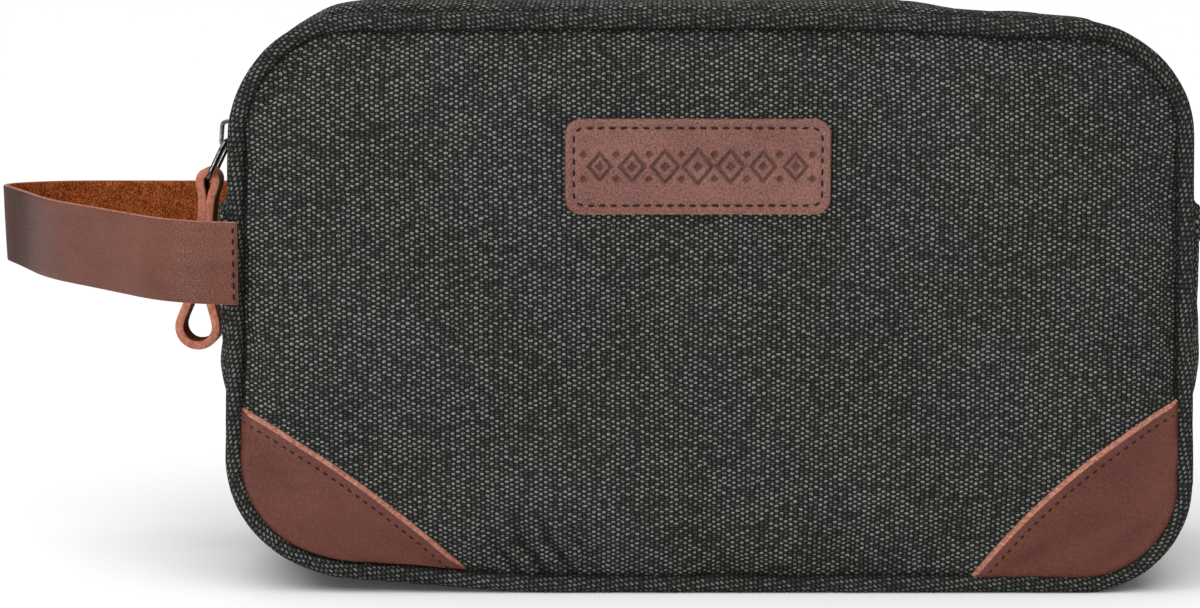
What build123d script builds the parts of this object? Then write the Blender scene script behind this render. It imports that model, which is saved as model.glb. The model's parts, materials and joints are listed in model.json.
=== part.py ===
"""Shaving kit bag: a boxy canvas pouch with a zip over its top, leather corners, label,
wrist strap and zip pull. Millimetres. X is the width, the front faces -Y, Z is up.
The origin is the centre of the flat underside."""

from build123d import *
import os
from math import cos, pi, radians, sin

os.makedirs("parts", exist_ok=True)

# Gusset: the band of canvas that runs round the bag between the front and back panels
gusset_half_width = 134.5
gusset_height = 162.5
gusset_half_depth = 39.5
top_corner_radius = 42.0
base_corner_radius = 32.0
canvas = 1.4
layer_gap = 0.1

# Front and back faces: the piping's outer outline, and the faces inside it
face_half_width = 132.5
face_height = 160.5
face_corner_radius = 32.0
face_depth = 44.0
piping_radius = 2.2
panel_thickness = 1.2
foam_thickness = 2.0
lining_thickness = 0.6

# Zip: two tapes with teeth along their edges, sewn under two canvas strips
zip_opening = 12.0
tape_thickness = 0.8
tape_edge = 3.0
tape_tuck = 4.0
tooth_half_pitch = 1.2
tooth_width = 1.05
tooth_height = 2.6
tooth_root = 2.9
tooth_nose = 1.1
zip_end_height = 103.1
mouth_half_length = 84.0
mouth_gap = 0.3

# Turned top hem of the lower gusset, which covers the ends of the zip
hem_top = 107.2
hem_length = 10.0
hem_thickness = 1.3

# Slider: it runs round the corner on an arc, above and below the teeth, and rests a little
# way up that arc
slider_rest_angle = 5.0
slider_half_angle = 7.8
slider_half_width = 4.7
slider_channel = 3.5
slider_plate = 1.2
slider_top_radius = 42.2
slider_lip_radius = 41.2
underplate_radius = 38.4
underplate_lip_radius = 39.3
bridge_half_length = 4.0
bridge_rise = 3.6
bridge_wire = 1.1
bridge_half_width = 1.3

# Pull ring and the folded leather pull that hangs from it
ring_wire_radius = 0.7
ring_width = 12.6
ring_length = 12.0
ring_corner = 3.0
ring_tilt = 26.0
pull_tilt = 5.0
pull_width = 10.0
pull_leather = 2.2
pull_eye_radius = 1.5
pull_eye_slack = 2.2
pull_loop_radius = 6.5
pull_loop_distance = 43.0
pull_neck_distance = 27.0

# Leather trim
corner_leather = 1.2
corner_side_height = 54.0
corner_base_reach = 60.0
corner_bulge = 3.0
label_width = 71.7
label_height = 25.7
label_corner = 4.4
label_thickness = 1.5
label_x = -3.7
label_z = 118.4

# Wrist strap: one leather strip, sewn to the front and the back beside the left end
strap_thickness = 1.9
strap_width = 22.6
strap_middle_height = 93.4
strap_face = 45.7
strap_end_x = -126.5

# Inside: stiffener board, bound seams and slip pocket
board_thickness = 1.6
board_half_width = 96.0
board_half_depth = 37.0
lining_inset = 3.4
binding_inset = 4.2
binding_thickness = 1.6
binding_width = 2.0
pocket_half_width = 70.0
pocket_low = 10.0
pocket_high = 100.0

corner_x = top_corner_radius - gusset_half_width
corner_z = gusset_height - top_corner_radius
panel_inset = 2 * piping_radius + layer_gap


def save(piece, name):
    """Label a finished part and write it as one STEP file."""
    piece.part.label = name
    export_step(piece.part, f"parts/{name}.step")


def across(back):
    """Plane facing the front of the bag at depth back; extruding goes towards the front."""
    return Plane.XZ.offset(-back)


def rounded_face(half_width, low, high, base_radius, top_radius, mode=Mode.ADD):
    """Draw an upright rounded rectangle, with its own radius for the base and the top."""
    with BuildLine() as outline:
        FilletPolyline(
            (-half_width, low),
            (half_width, low),
            (half_width, high),
            (-half_width, high),
            radius=[base_radius, base_radius, top_radius, top_radius],
            close=True,
        )
    make_face(outline.edges(), mode=mode)


def gusset_face(inset, mode=Mode.ADD):
    """Draw the gusset's outline, moved inwards by inset."""
    rounded_face(
        gusset_half_width - inset,
        inset,
        gusset_height - inset,
        base_corner_radius - inset,
        top_corner_radius - inset,
        mode,
    )


def panel_face(inset, mode=Mode.ADD):
    """Draw the outline of the front or back face, moved inwards by inset."""
    radius = face_corner_radius - inset
    rounded_face(face_half_width - inset, inset, face_height - inset, radius, radius, mode)


def keep_box(x_low, x_high, z_low, z_high):
    """Keep only the part of the sketch inside an upright rectangle."""
    with Locations(((x_low + x_high) / 2, (z_low + z_high) / 2)):
        Rectangle(x_high - x_low, z_high - z_low, mode=Mode.INTERSECT)


def gusset_band(inset, thickness, front, back, region):
    """A stretch of band that follows the gusset's outline between two depths."""
    with BuildPart() as band:
        with BuildSketch(across(back)):
            gusset_face(inset)
            gusset_face(inset + thickness, Mode.SUBTRACT)
            keep_box(*region)
        extrude(amount=back - front)
    return band


# Front and back panels, with their foam and lining behind them
for face in ("front", "back"):
    layers = [
        ("panel", panel_inset, face_depth, panel_thickness),
        ("foam", panel_inset + 2, face_depth - panel_thickness - layer_gap, foam_thickness),
        ("lining", panel_inset + 1, face_depth - 3.6, lining_thickness),
    ]
    for layer, inset, outer, thickness in layers:
        back = -outer + thickness if face == "front" else outer
        with BuildPart() as sheet:
            with BuildSketch(across(back)):
                panel_face(inset)
            extrude(amount=thickness)
        save(sheet, f"{face}_{layer}")

# Piping round each face
for face, side in (("front", -1), ("back", 1)):
    with BuildPart() as piping:
        with BuildLine(across(side * (face_depth - piping_radius))) as piping_line:
            half = face_half_width - piping_radius
            high = face_height - piping_radius
            FilletPolyline(
                (-half, piping_radius),
                (half, piping_radius),
                (half, high),
                (-half, high),
                radius=face_corner_radius - piping_radius,
                close=True,
            )
        with BuildSketch(Plane(origin=piping_line.line @ 0, z_dir=piping_line.line % 0)):
            Circle(piping_radius)
        sweep()
    save(piping, f"{face}_piping")

# Lower gusset: bottom and both ends in one piece, with a turned hem at each top edge
with BuildPart() as lower_gusset:
    with BuildSketch(across(gusset_half_depth)):
        gusset_face(0)
        gusset_face(canvas, Mode.SUBTRACT)
        keep_box(-200, 200, -1, zip_end_height - layer_gap)
        for side in (-1, 1):
            with Locations((side * (gusset_half_width + hem_thickness / 2), hem_top - hem_length / 2)):
                Rectangle(hem_thickness, hem_length)
    extrude(amount=2 * gusset_half_depth)
    hem_edges = lower_gusset.edges().filter_by(Axis.Y).group_by(Axis.Z)[-1].sort_by(Axis.X)
    fillet([hem_edges[0], hem_edges[-1]], radius=hem_thickness * 0.9)
save(lower_gusset, "lower_gusset")

# Canvas strips, tapes and teeth beside the zip: fixed at both corners, and in the middle
# on the two flaps of the mouth
far = 200.0
fixed_reach = mouth_half_length + mouth_gap
stretches = {
    "left": (-far, -fixed_reach, zip_end_height, far),
    "middle": (-mouth_half_length, mouth_half_length, gusset_height - 20, far),
    "right": (fixed_reach, far, zip_end_height, far),
}
tape_depth = canvas + layer_gap
for stretch, region in stretches.items():
    edge = gusset_half_depth - (layer_gap if stretch == "middle" else 0)
    tuck = zip_opening + tape_tuck
    save(gusset_band(0, canvas, -edge, -zip_opening, region), f"zip_strip_front_{stretch}")
    save(gusset_band(0, canvas, zip_opening, edge, region), f"zip_strip_back_{stretch}")
    save(
        gusset_band(tape_depth, tape_thickness, -tuck, -tape_edge, region),
        f"zip_tape_front_{stretch}",
    )
    save(
        gusset_band(tape_depth, tape_thickness, tape_edge, tuck, region),
        f"zip_tape_back_{stretch}",
    )

tooth_depth = tape_depth + tape_thickness / 2
tooth_arc_radius = top_corner_radius - tooth_depth
top_straight = gusset_half_width - top_corner_radius
corner_run = tooth_arc_radius * pi / 2
side_straight = corner_z - zip_end_height


def tooth_place(distance):
    """Place and turn of a tooth at a distance along the zip from the middle of the top."""
    side = 1 if distance > 0 else -1
    run = abs(distance)
    if run <= top_straight:
        return Location((distance, gusset_height - tooth_depth, 0), (0, 0, 0))
    if run <= top_straight + corner_run:
        turn = (run - top_straight) / tooth_arc_radius
        x = top_straight + tooth_arc_radius * sin(turn)
        z = corner_z + tooth_arc_radius * cos(turn)
        return Location((side * x, z, 0), (0, 0, -side * turn * 180 / pi))
    z = corner_z - (run - top_straight - corner_run)
    return Location((side * (gusset_half_width - tooth_depth), z, 0), (0, 0, 90))


last_tooth = int((top_straight + corner_run + side_straight - tooth_width) / tooth_half_pitch)
mouth_tooth = int(mouth_half_length / tooth_half_pitch)
rows = {"front": (0, -tooth_root, tooth_nose), "back": (1, -tooth_nose, tooth_root)}
runs = {
    "left": range(-last_tooth, -mouth_tooth),
    "middle": range(-mouth_tooth + 1, mouth_tooth),
    "right": range(mouth_tooth + 1, last_tooth + 1),
}
for row, (parity, front, back) in rows.items():
    for stretch, numbers in runs.items():
        places = [tooth_place(n * tooth_half_pitch) for n in numbers if n % 2 == parity]
        with BuildPart() as teeth:
            with BuildSketch(across(back)):
                with Locations(*places):
                    Rectangle(tooth_width, tooth_height)
            extrude(amount=back - front)
        save(teeth, f"zip_teeth_{row}_{stretch}")


def arc_plate(inner, outer, half_width, offset=0.0):
    """Add a plate that is bent round the zip's corner, where the slider rests."""
    with BuildSketch(across(offset + half_width)) as plate:
        with BuildLine():
            start = 180 - slider_rest_angle - slider_half_angle
            low_arc = CenterArc((corner_x, corner_z), inner, start, 2 * slider_half_angle)
            high_arc = CenterArc((corner_x, corner_z), outer, start, 2 * slider_half_angle)
            Line(low_arc @ 0, high_arc @ 0)
            Line(low_arc @ 1, high_arc @ 1)
        make_face()
    extrude(plate.sketch, amount=2 * half_width)


# Slider: top plate with two lips and the bridge that holds the ring
lip_half_width = (slider_half_width - slider_channel) / 2
lip_offset = (slider_half_width + slider_channel) / 2
slider_outer_radius = slider_top_radius + slider_plate
slider_up = radians(slider_rest_angle)


def slider_point(rise, along):
    """Place (x, z) at a height above the slider's outer face and a distance up its length."""
    reach = slider_outer_radius + rise
    x = corner_x - reach * cos(slider_up) + along * sin(slider_up)
    z = corner_z + reach * sin(slider_up) + along * cos(slider_up)
    return x, z


with BuildPart() as zip_slider:
    with BuildSketch(across(bridge_half_width)):
        with Locations(Location((*slider_point(0, 0), 0), (0, 0, -slider_rest_angle))):
            RectangleRounded(2 * bridge_rise, 2 * bridge_half_length, 1.8)
            RectangleRounded(
                2 * (bridge_rise - bridge_wire),
                2 * (bridge_half_length - bridge_wire),
                0.9,
                mode=Mode.SUBTRACT,
            )
            with Locations((-bridge_rise + 0.35, 0)):
                Rectangle(2 * bridge_rise + 0.7, 4 * bridge_half_length, mode=Mode.INTERSECT)
    extrude(amount=2 * bridge_half_width)
    arc_plate(slider_top_radius, slider_outer_radius, slider_half_width)
    for side in (-1, 1):
        arc_plate(slider_lip_radius, slider_outer_radius, lip_half_width, side * lip_offset)
save(zip_slider, "zip_slider")

# Under plate of the slider, inside the bag
with BuildPart() as under_plate:
    arc_plate(underplate_radius - slider_plate, underplate_radius, slider_half_width)
    for side in (-1, 1):
        arc_plate(
            underplate_radius - slider_plate,
            underplate_lip_radius,
            lip_half_width,
            side * lip_offset,
        )
save(under_plate, "zip_slider_under_plate")

# Pull ring: a rounded wire link that passes through the bridge
ring_x, ring_z = slider_point((bridge_rise - bridge_wire) / 2, 2.0 - bridge_half_length)
ring_down = Vector(-sin(radians(ring_tilt)), 0, -cos(radians(ring_tilt)))
ring_middle = Vector(ring_x, 0, ring_z) + ring_down * (ring_length / 2)
ring_plane = Plane(origin=ring_middle, x_dir=(0, 1, 0), z_dir=Vector(0, 1, 0).cross(-ring_down))
with BuildPart() as pull_ring:
    with BuildLine(ring_plane) as ring_line:
        FilletPolyline(
            (-ring_width / 2, -ring_length / 2),
            (ring_width / 2, -ring_length / 2),
            (ring_width / 2, ring_length / 2),
            (-ring_width / 2, ring_length / 2),
            radius=ring_corner,
            close=True,
        )
    with BuildSketch(Plane(origin=ring_line.line @ 0, z_dir=ring_line.line % 0)):
        Circle(ring_wire_radius)
    sweep()
save(pull_ring, "pull_ring")

# Leather pull: a strip folded round the ring, pressed flat, with an open loop at its end
pull_pivot = Vector(ring_x, 0, ring_z) + ring_down * ring_length
pull_down = Vector(-sin(radians(pull_tilt)), 0, -cos(radians(pull_tilt)))
pull_plane = Plane(origin=pull_pivot, x_dir=pull_down, z_dir=(0, 1, 0))
with BuildPart() as leather_pull:
    with BuildSketch(pull_plane.offset(-pull_width / 2)):
        with BuildSketch(mode=Mode.PRIVATE) as loop_outline:
            with Locations((pull_neck_distance, 0)):
                Circle(pull_leather)
            with Locations((pull_loop_distance, 0)):
                Circle(pull_loop_radius)
            make_hull()
        with BuildSketch(mode=Mode.PRIVATE) as loop_hole:
            with Locations((pull_neck_distance + 3, 0)):
                Circle(0.4)
            with Locations((pull_loop_distance, 0)):
                Circle(pull_loop_radius - pull_leather)
            make_hull()
        with Locations((pull_eye_slack / 2, 0)):
            SlotCenterToCenter(pull_eye_slack, 2 * (pull_eye_radius + pull_leather))
        with Locations((pull_neck_distance / 2, 0)):
            Rectangle(pull_neck_distance, 2 * pull_leather)
        add(loop_outline.sketch)
        add(loop_hole.sketch, mode=Mode.SUBTRACT)
        with Locations((pull_eye_slack / 2, 0)):
            SlotCenterToCenter(pull_eye_slack, 2 * pull_eye_radius, mode=Mode.SUBTRACT)
    extrude(amount=pull_width)
save(leather_pull, "leather_pull")

# Wrist strap: a loop of leather on edge, its front limb slanting back to the rounded tip
with BuildPart() as wrist_strap:
    with BuildSketch(Plane.XY.offset(strap_middle_height - strap_width / 2)):
        with BuildLine() as strap_line:
            FilletPolyline(
                (strap_end_x, -strap_face),
                (-147, -strap_face),
                (-190, -8),
                (-211.8, 36),
                (-192.5, 46.5),
                (strap_end_x, strap_face),
                radius=[30, 60, 9, 30],
            )
        trace(line_width=strap_thickness)
    extrude(amount=strap_width)
save(wrist_strap, "wrist_strap")

# Leather corners at the base of both faces
for face in ("front", "back"):
    outer = face_depth + layer_gap
    back = -outer if face == "front" else outer + corner_leather
    for name, side in (("left", -1), ("right", 1)):
        with BuildPart() as corner:
            with BuildSketch(across(back)):
                panel_face(panel_inset + layer_gap)
                with BuildLine():
                    high_end = (side * face_half_width, corner_side_height)
                    low_end = (side * corner_base_reach, 0)
                    SagittaArc(high_end, low_end, -side * corner_bulge)
                    Polyline(low_end, (side * face_half_width, 0), high_end)
                make_face(mode=Mode.INTERSECT)
            extrude(amount=corner_leather)
        save(corner, f"leather_corner_{face}_{name}")

# Label patch on the front
with BuildPart() as label_patch:
    with BuildSketch(across(-face_depth - layer_gap)):
        with Locations((label_x, label_z)):
            RectangleRounded(label_width, label_height, label_corner)
    extrude(amount=label_thickness)
    fillet(label_patch.faces().sort_by(Axis.Y)[0].edges(), radius=0.5)
save(label_patch, "label_patch")

# Gusset lining, stiffener board under it, bound seams and the slip pocket
lined_region = (-far, far, -1, zip_end_height)
gusset_lining = gusset_band(
    lining_inset, lining_thickness, -gusset_half_depth, gusset_half_depth, lined_region
)
save(gusset_lining, "gusset_lining")

with BuildPart() as base_board:
    with BuildSketch(Plane.XY.offset(canvas + 2 * layer_gap)):
        RectangleRounded(2 * board_half_width, 2 * board_half_depth, 8)
    extrude(amount=board_thickness)
save(base_board, "base_board")

for face, front in (("front", -gusset_half_depth), ("back", gusset_half_depth - binding_width)):
    whole = (-far, far, -1, far)
    binding = gusset_band(binding_inset, binding_thickness, front, front + binding_width, whole)
    save(binding, f"seam_binding_{face}")

pocket_outer = gusset_half_depth + layer_gap
with BuildPart() as slip_pocket:
    with BuildSketch(across(pocket_outer)):
        with Locations((0, (pocket_low + pocket_high) / 2)):
            Rectangle(2 * pocket_half_width, pocket_high - pocket_low)
    extrude(amount=lining_thickness)
save(slip_pocket, "slip_pocket")
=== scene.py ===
"""Looks of the shaving kit bag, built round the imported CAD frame. Lengths are in metres."""
import json
import math
import random

import bpy
import numpy as np
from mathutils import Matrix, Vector, noise
from mathutils.bvhtree import BVHTree

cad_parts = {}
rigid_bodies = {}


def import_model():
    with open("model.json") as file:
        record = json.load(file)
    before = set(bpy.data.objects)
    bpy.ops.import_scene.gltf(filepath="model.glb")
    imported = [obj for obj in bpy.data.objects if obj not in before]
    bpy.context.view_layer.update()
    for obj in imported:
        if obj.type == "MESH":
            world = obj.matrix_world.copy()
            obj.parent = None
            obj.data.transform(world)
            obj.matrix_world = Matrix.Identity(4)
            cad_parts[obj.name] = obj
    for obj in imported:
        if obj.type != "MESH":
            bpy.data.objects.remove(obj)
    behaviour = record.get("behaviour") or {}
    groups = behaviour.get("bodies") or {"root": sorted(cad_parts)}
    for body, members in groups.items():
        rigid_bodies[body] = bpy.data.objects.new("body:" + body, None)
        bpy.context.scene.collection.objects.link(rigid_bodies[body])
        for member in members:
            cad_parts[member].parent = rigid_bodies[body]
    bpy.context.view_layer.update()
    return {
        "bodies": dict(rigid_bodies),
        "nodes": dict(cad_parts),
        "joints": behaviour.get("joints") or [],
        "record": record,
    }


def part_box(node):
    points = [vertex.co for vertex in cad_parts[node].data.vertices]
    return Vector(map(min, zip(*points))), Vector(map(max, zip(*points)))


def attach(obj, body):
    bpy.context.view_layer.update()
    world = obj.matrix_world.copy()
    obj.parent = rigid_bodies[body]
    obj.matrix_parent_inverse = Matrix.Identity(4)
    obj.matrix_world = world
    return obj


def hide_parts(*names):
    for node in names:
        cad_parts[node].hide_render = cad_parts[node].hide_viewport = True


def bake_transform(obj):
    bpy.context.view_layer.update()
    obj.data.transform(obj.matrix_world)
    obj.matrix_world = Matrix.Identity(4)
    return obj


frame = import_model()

MM = 0.001
random.seed(7)

# ---------------------------------------------------------------- sizes taken from the frame

piping_low, piping_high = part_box("front_piping")
gusset_low, gusset_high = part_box("lower_gusset")
strip_low, strip_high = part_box("zip_strip_front_left")
label_low, label_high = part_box("label_patch")
strap_low, strap_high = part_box("wrist_strap")

FACE_HALF = piping_high.x
FACE_HIGH = piping_high.z
FACE_FRONT = -piping_low.y
GUSSET_HALF = -strip_low.x
GUSSET_HIGH = strip_high.z
ZIP_END = strip_low.z
HEM_TOP = gusset_high.z

PIPING = 2.2 * MM
PIPING_SIZE = 2.6 * MM
CANVAS = 1.3 * MM
TOP_CORNER = 42 * MM
BASE_CORNER = 32 * MM
FACE_CORNERS = {
    "top_right": 33 * MM,
    "top_left": 34 * MM,
    "base_left": 36 * MM,
    "base_right": 31 * MM,
}
MID_CORNERS = {
    "top_right": TOP_CORNER,
    "top_left": TOP_CORNER,
    "base_left": BASE_CORNER,
    "base_right": BASE_CORNER,
}
# Stretches of the bag's outline, anticlockwise, and the number of points that each has.
STRETCHES = (
    ("right_low", 26),
    ("right_high", 6),
    ("top_right", 16),
    ("top", 66),
    ("top_left", 16),
    ("left_high", 6),
    ("left_low", 26),
    ("base_left", 16),
    ("base", 66),
    ("base_right", 16),
)


# ---------------------------------------------------------------- materials


class Paint:
    """One material's node tree, with short calls for the nodes that it uses."""

    def __init__(self, name, cloth=True):
        self.material = bpy.data.materials.new(name)
        self.material.use_nodes = True
        self.nodes = self.material.node_tree.nodes
        self.links = self.material.node_tree.links
        self.shader = self.nodes["Principled BSDF"]
        if cloth:
            source = self.nodes.new("ShaderNodeAttribute")
            source.attribute_name = "cloth"
            self.place = source.outputs["Vector"]
        else:
            self.place = self.nodes.new("ShaderNodeTexCoord").outputs["Object"]

    def join(self, value, socket):
        """Link an output to a socket, or set the socket to a plain value."""
        if isinstance(value, bpy.types.NodeSocket):
            self.links.new(value, socket)
        else:
            socket.default_value = value

    def math(self, operation, *values):
        node = self.nodes.new("ShaderNodeMath")
        node.operation = operation
        for value, socket in zip(values, node.inputs):
            self.join(value, socket)
        return node.outputs[0]

    def plus(self, one, two):
        return self.math("ADD", one, two)

    def minus(self, one, two):
        return self.math("SUBTRACT", one, two)

    def times(self, one, two):
        return self.math("MULTIPLY", one, two)

    def held(self, share):
        """A share no larger than one."""
        return self.math("MINIMUM", share, 1.0)

    def split(self, vector):
        node = self.nodes.new("ShaderNodeSeparateXYZ")
        self.join(vector, node.inputs[0])
        return node.outputs

    def gather(self, x, y, z=0.0):
        node = self.nodes.new("ShaderNodeCombineXYZ")
        for value, socket in zip((x, y, z), node.inputs):
            self.join(value, socket)
        return node.outputs[0]

    def vector(self, operation, vector, constants):
        node = self.nodes.new("ShaderNodeVectorMath")
        node.operation = operation
        self.join(vector, node.inputs[0])
        node.inputs[1].default_value = constants
        return node.outputs[0]

    def moved(self, shift):
        """The place, shifted by a constant."""
        return self.vector("ADD", self.place, shift)

    def noise(self, per_metre, detail=2.0, rough=0.5, vector=None, stretch=(1, 1, 1)):
        node = self.nodes.new("ShaderNodeTexNoise")
        place = self.place if vector is None else vector
        self.join(self.vector("MULTIPLY", place, stretch), node.inputs["Vector"])
        node.inputs["Scale"].default_value = per_metre
        node.inputs["Detail"].default_value = detail
        node.inputs["Roughness"].default_value = rough
        return node.outputs["Fac"]

    def cells(self, per_metre, feature="F1"):
        node = self.nodes.new("ShaderNodeTexVoronoi")
        node.feature = feature
        self.join(self.place, node.inputs["Vector"])
        node.inputs["Scale"].default_value = per_metre
        return node.outputs["Distance"]

    def chance(self, x, y):
        """A random number for each whole-numbered pair."""
        node = self.nodes.new("ShaderNodeTexWhiteNoise")
        node.noise_dimensions = "2D"
        self.join(self.gather(x, y), node.inputs["Vector"])
        return node.outputs["Value"]

    def ramp(self, value, low, high, to_low=0.0, to_high=1.0):
        node = self.nodes.new("ShaderNodeMapRange")
        node.interpolation_type = "SMOOTHSTEP"
        self.join(value, node.inputs["Value"])
        settings = {"From Min": low, "From Max": high, "To Min": to_low, "To Max": to_high}
        for key, number in settings.items():
            self.join(number, node.inputs[key])
        return node.outputs["Result"]

    def mix(self, share, one, two):
        """Mix two colours, which are the mix node's seventh and eighth inputs."""
        node = self.nodes.new("ShaderNodeMix")
        node.data_type = "RGBA"
        self.join(share, node.inputs["Factor"])
        self.join(one, node.inputs[6])
        self.join(two, node.inputs[7])
        return node.outputs[2]

    def bump(self, height, distance, strength):
        node = self.nodes.new("ShaderNodeBump")
        self.join(height, node.inputs["Height"])
        node.inputs["Distance"].default_value = distance
        node.inputs["Strength"].default_value = strength
        return node.outputs["Normal"]

    def finish(self, **sockets):
        """Set or link the shader's sockets, named with underscores for spaces."""
        for key, value in sockets.items():
            self.join(value, self.shader.inputs[key.replace("_", " ")])
        return self.material


def rgb(red, green, blue):
    return (red, green, blue, 1.0)


def canvas_material(name, pale=1.0, column=1.32 * MM, pick=0.7 * MM):
    """Waxed plain-weave canvas: pale warp floats standing out of a near-black ground. The cloth
    coordinate's third value paints shade along seams, in the piping's hollows and in the puckers' troughs.
    """
    paint = Paint(name)
    x, y, seam = paint.split(paint.place)

    def shaken(value, seed):
        """Let a cloth coordinate wander, as the threads of a real weave do."""
        moved = paint.moved((seed, seed * 0.7, seed * 1.3))
        slow = paint.minus(paint.noise(130, 2.0, vector=moved), 0.5)
        fast = paint.minus(paint.noise(620, 1.0, vector=moved), 0.5)
        return paint.plus(value, paint.plus(paint.times(slow, 0.9 * MM), paint.times(fast, 0.6 * MM)))

    across = paint.math("DIVIDE", shaken(x, 0.31), column)
    along = paint.math("DIVIDE", shaken(y, 0.87), pick)
    wave_x = paint.math("COSINE", paint.times(across, math.pi))
    wave_y = paint.math("COSINE", paint.times(along, math.pi))
    narrow = paint.math("POWER", paint.math("ABSOLUTE", wave_x), 0.8)
    weave = paint.times(paint.times(wave_x, narrow), wave_y)
    row = paint.math("ROUND", paint.times(paint.plus(across, along), 0.5))
    line = paint.math("ROUND", paint.times(paint.minus(across, along), 0.5))
    chance = paint.chance(row, line)
    glint = paint.chance(paint.plus(row, 17.0), line)
    warp = paint.noise(55, 3.0, 0.6, stretch=(10, 1, 1))
    weft = paint.noise(55, 3.0, 0.6, stretch=(1, 10, 1))
    patches = paint.noise(24, 3.0, 0.6)
    mottle = paint.noise(2100, 2.0, 0.7)
    fuzz = paint.noise(5600, 2.0, 0.7)
    wear = paint.times(paint.plus(warp, weft), paint.ramp(patches, 0.3, 0.75, 0.80, 1.12))
    bright = paint.times(wear, paint.ramp(chance, 0.0, 1.0, 0.24, 1.18))
    bright = paint.times(bright, paint.ramp(mottle, 0.30, 0.70, 0.40, 1.75))
    bright = paint.times(bright, paint.ramp(fuzz, 0.25, 0.75, 0.6, 1.4))
    # Painted glints: a few bright specks added to the threads' colour.
    painted_glints = paint.times(paint.ramp(glint, 0.82, 1.0, 0.0, 1.7), paint.ramp(mottle, 0.45, 0.62))
    bright = paint.plus(bright, painted_glints)
    dots = paint.times(paint.ramp(weave, -0.06, 0.66), bright)
    ground = paint.mix(
        paint.ramp(patches, 0.35, 0.65), rgb(0.0048, 0.0052, 0.0044), rgb(0.0068, 0.0070, 0.0072)
    )
    under = paint.times(paint.ramp(weave, -0.10, -0.85), paint.ramp(mottle, 0.3, 0.7, 0.2, 1.3))
    ground = paint.mix(paint.held(under), ground, rgb(0.030, 0.031, 0.027))
    tint = paint.noise(30, 2.0)
    thread = paint.mix(
        paint.ramp(tint, 0.38, 0.64),
        rgb(0.212 * pale, 0.216 * pale, 0.186 * pale),
        rgb(0.209 * pale, 0.212 * pale, 0.206 * pale),
    )
    colour = paint.mix(paint.held(dots), ground, thread)
    # Painted shade: the cloth coordinate's third value darkens the colour along the seams, in the piping's
    # hollows and in the puckers' troughs.
    colour = paint.mix(paint.ramp(seam, 0.15 * MM, 1.0 * MM, 0.0, 0.65), colour, rgb(0.004, 0.004, 0.004))
    height = paint.plus(paint.math("ABSOLUTE", weave), paint.times(mottle, 0.6))
    height = paint.plus(height, paint.times(fuzz, 0.3))
    return paint.finish(
        Base_Color=colour,
        Roughness=paint.ramp(fuzz, 0.2, 0.8, 0.72, 0.92),
        Normal=paint.bump(height, 0.20 * MM, 0.8),
        Specular_IOR_Level=0.10,
    )


def cloth_material(name, low, high, thread, sheen=0.1, placed=True):
    """Fine plain cloth for the lining, the tape and the binding."""
    paint = Paint(name, placed)
    spots = paint.split(paint.place)
    parts = [paint.math("SINE", paint.times(spot, math.pi / thread)) for spot in spots]
    weave = paint.times(parts[0], parts[2 if not placed else 1])
    weave = paint.plus(weave, paint.times(parts[1 if not placed else 2], 0.4))
    patches = paint.noise(40, 3.0, 0.6)
    share = paint.plus(paint.ramp(weave, -0.8, 0.9, 0.1, 0.7), paint.ramp(patches, 0.3, 0.7, -0.1, 0.3))
    return paint.finish(
        Base_Color=paint.mix(paint.held(share), low, high),
        Roughness=paint.ramp(patches, 0.2, 0.8, 0.65, 0.85),
        Normal=paint.bump(weave, 0.08 * MM, 0.7),
        Specular_IOR_Level=0.3,
        Sheen_Weight=sheen,
    )


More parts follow.
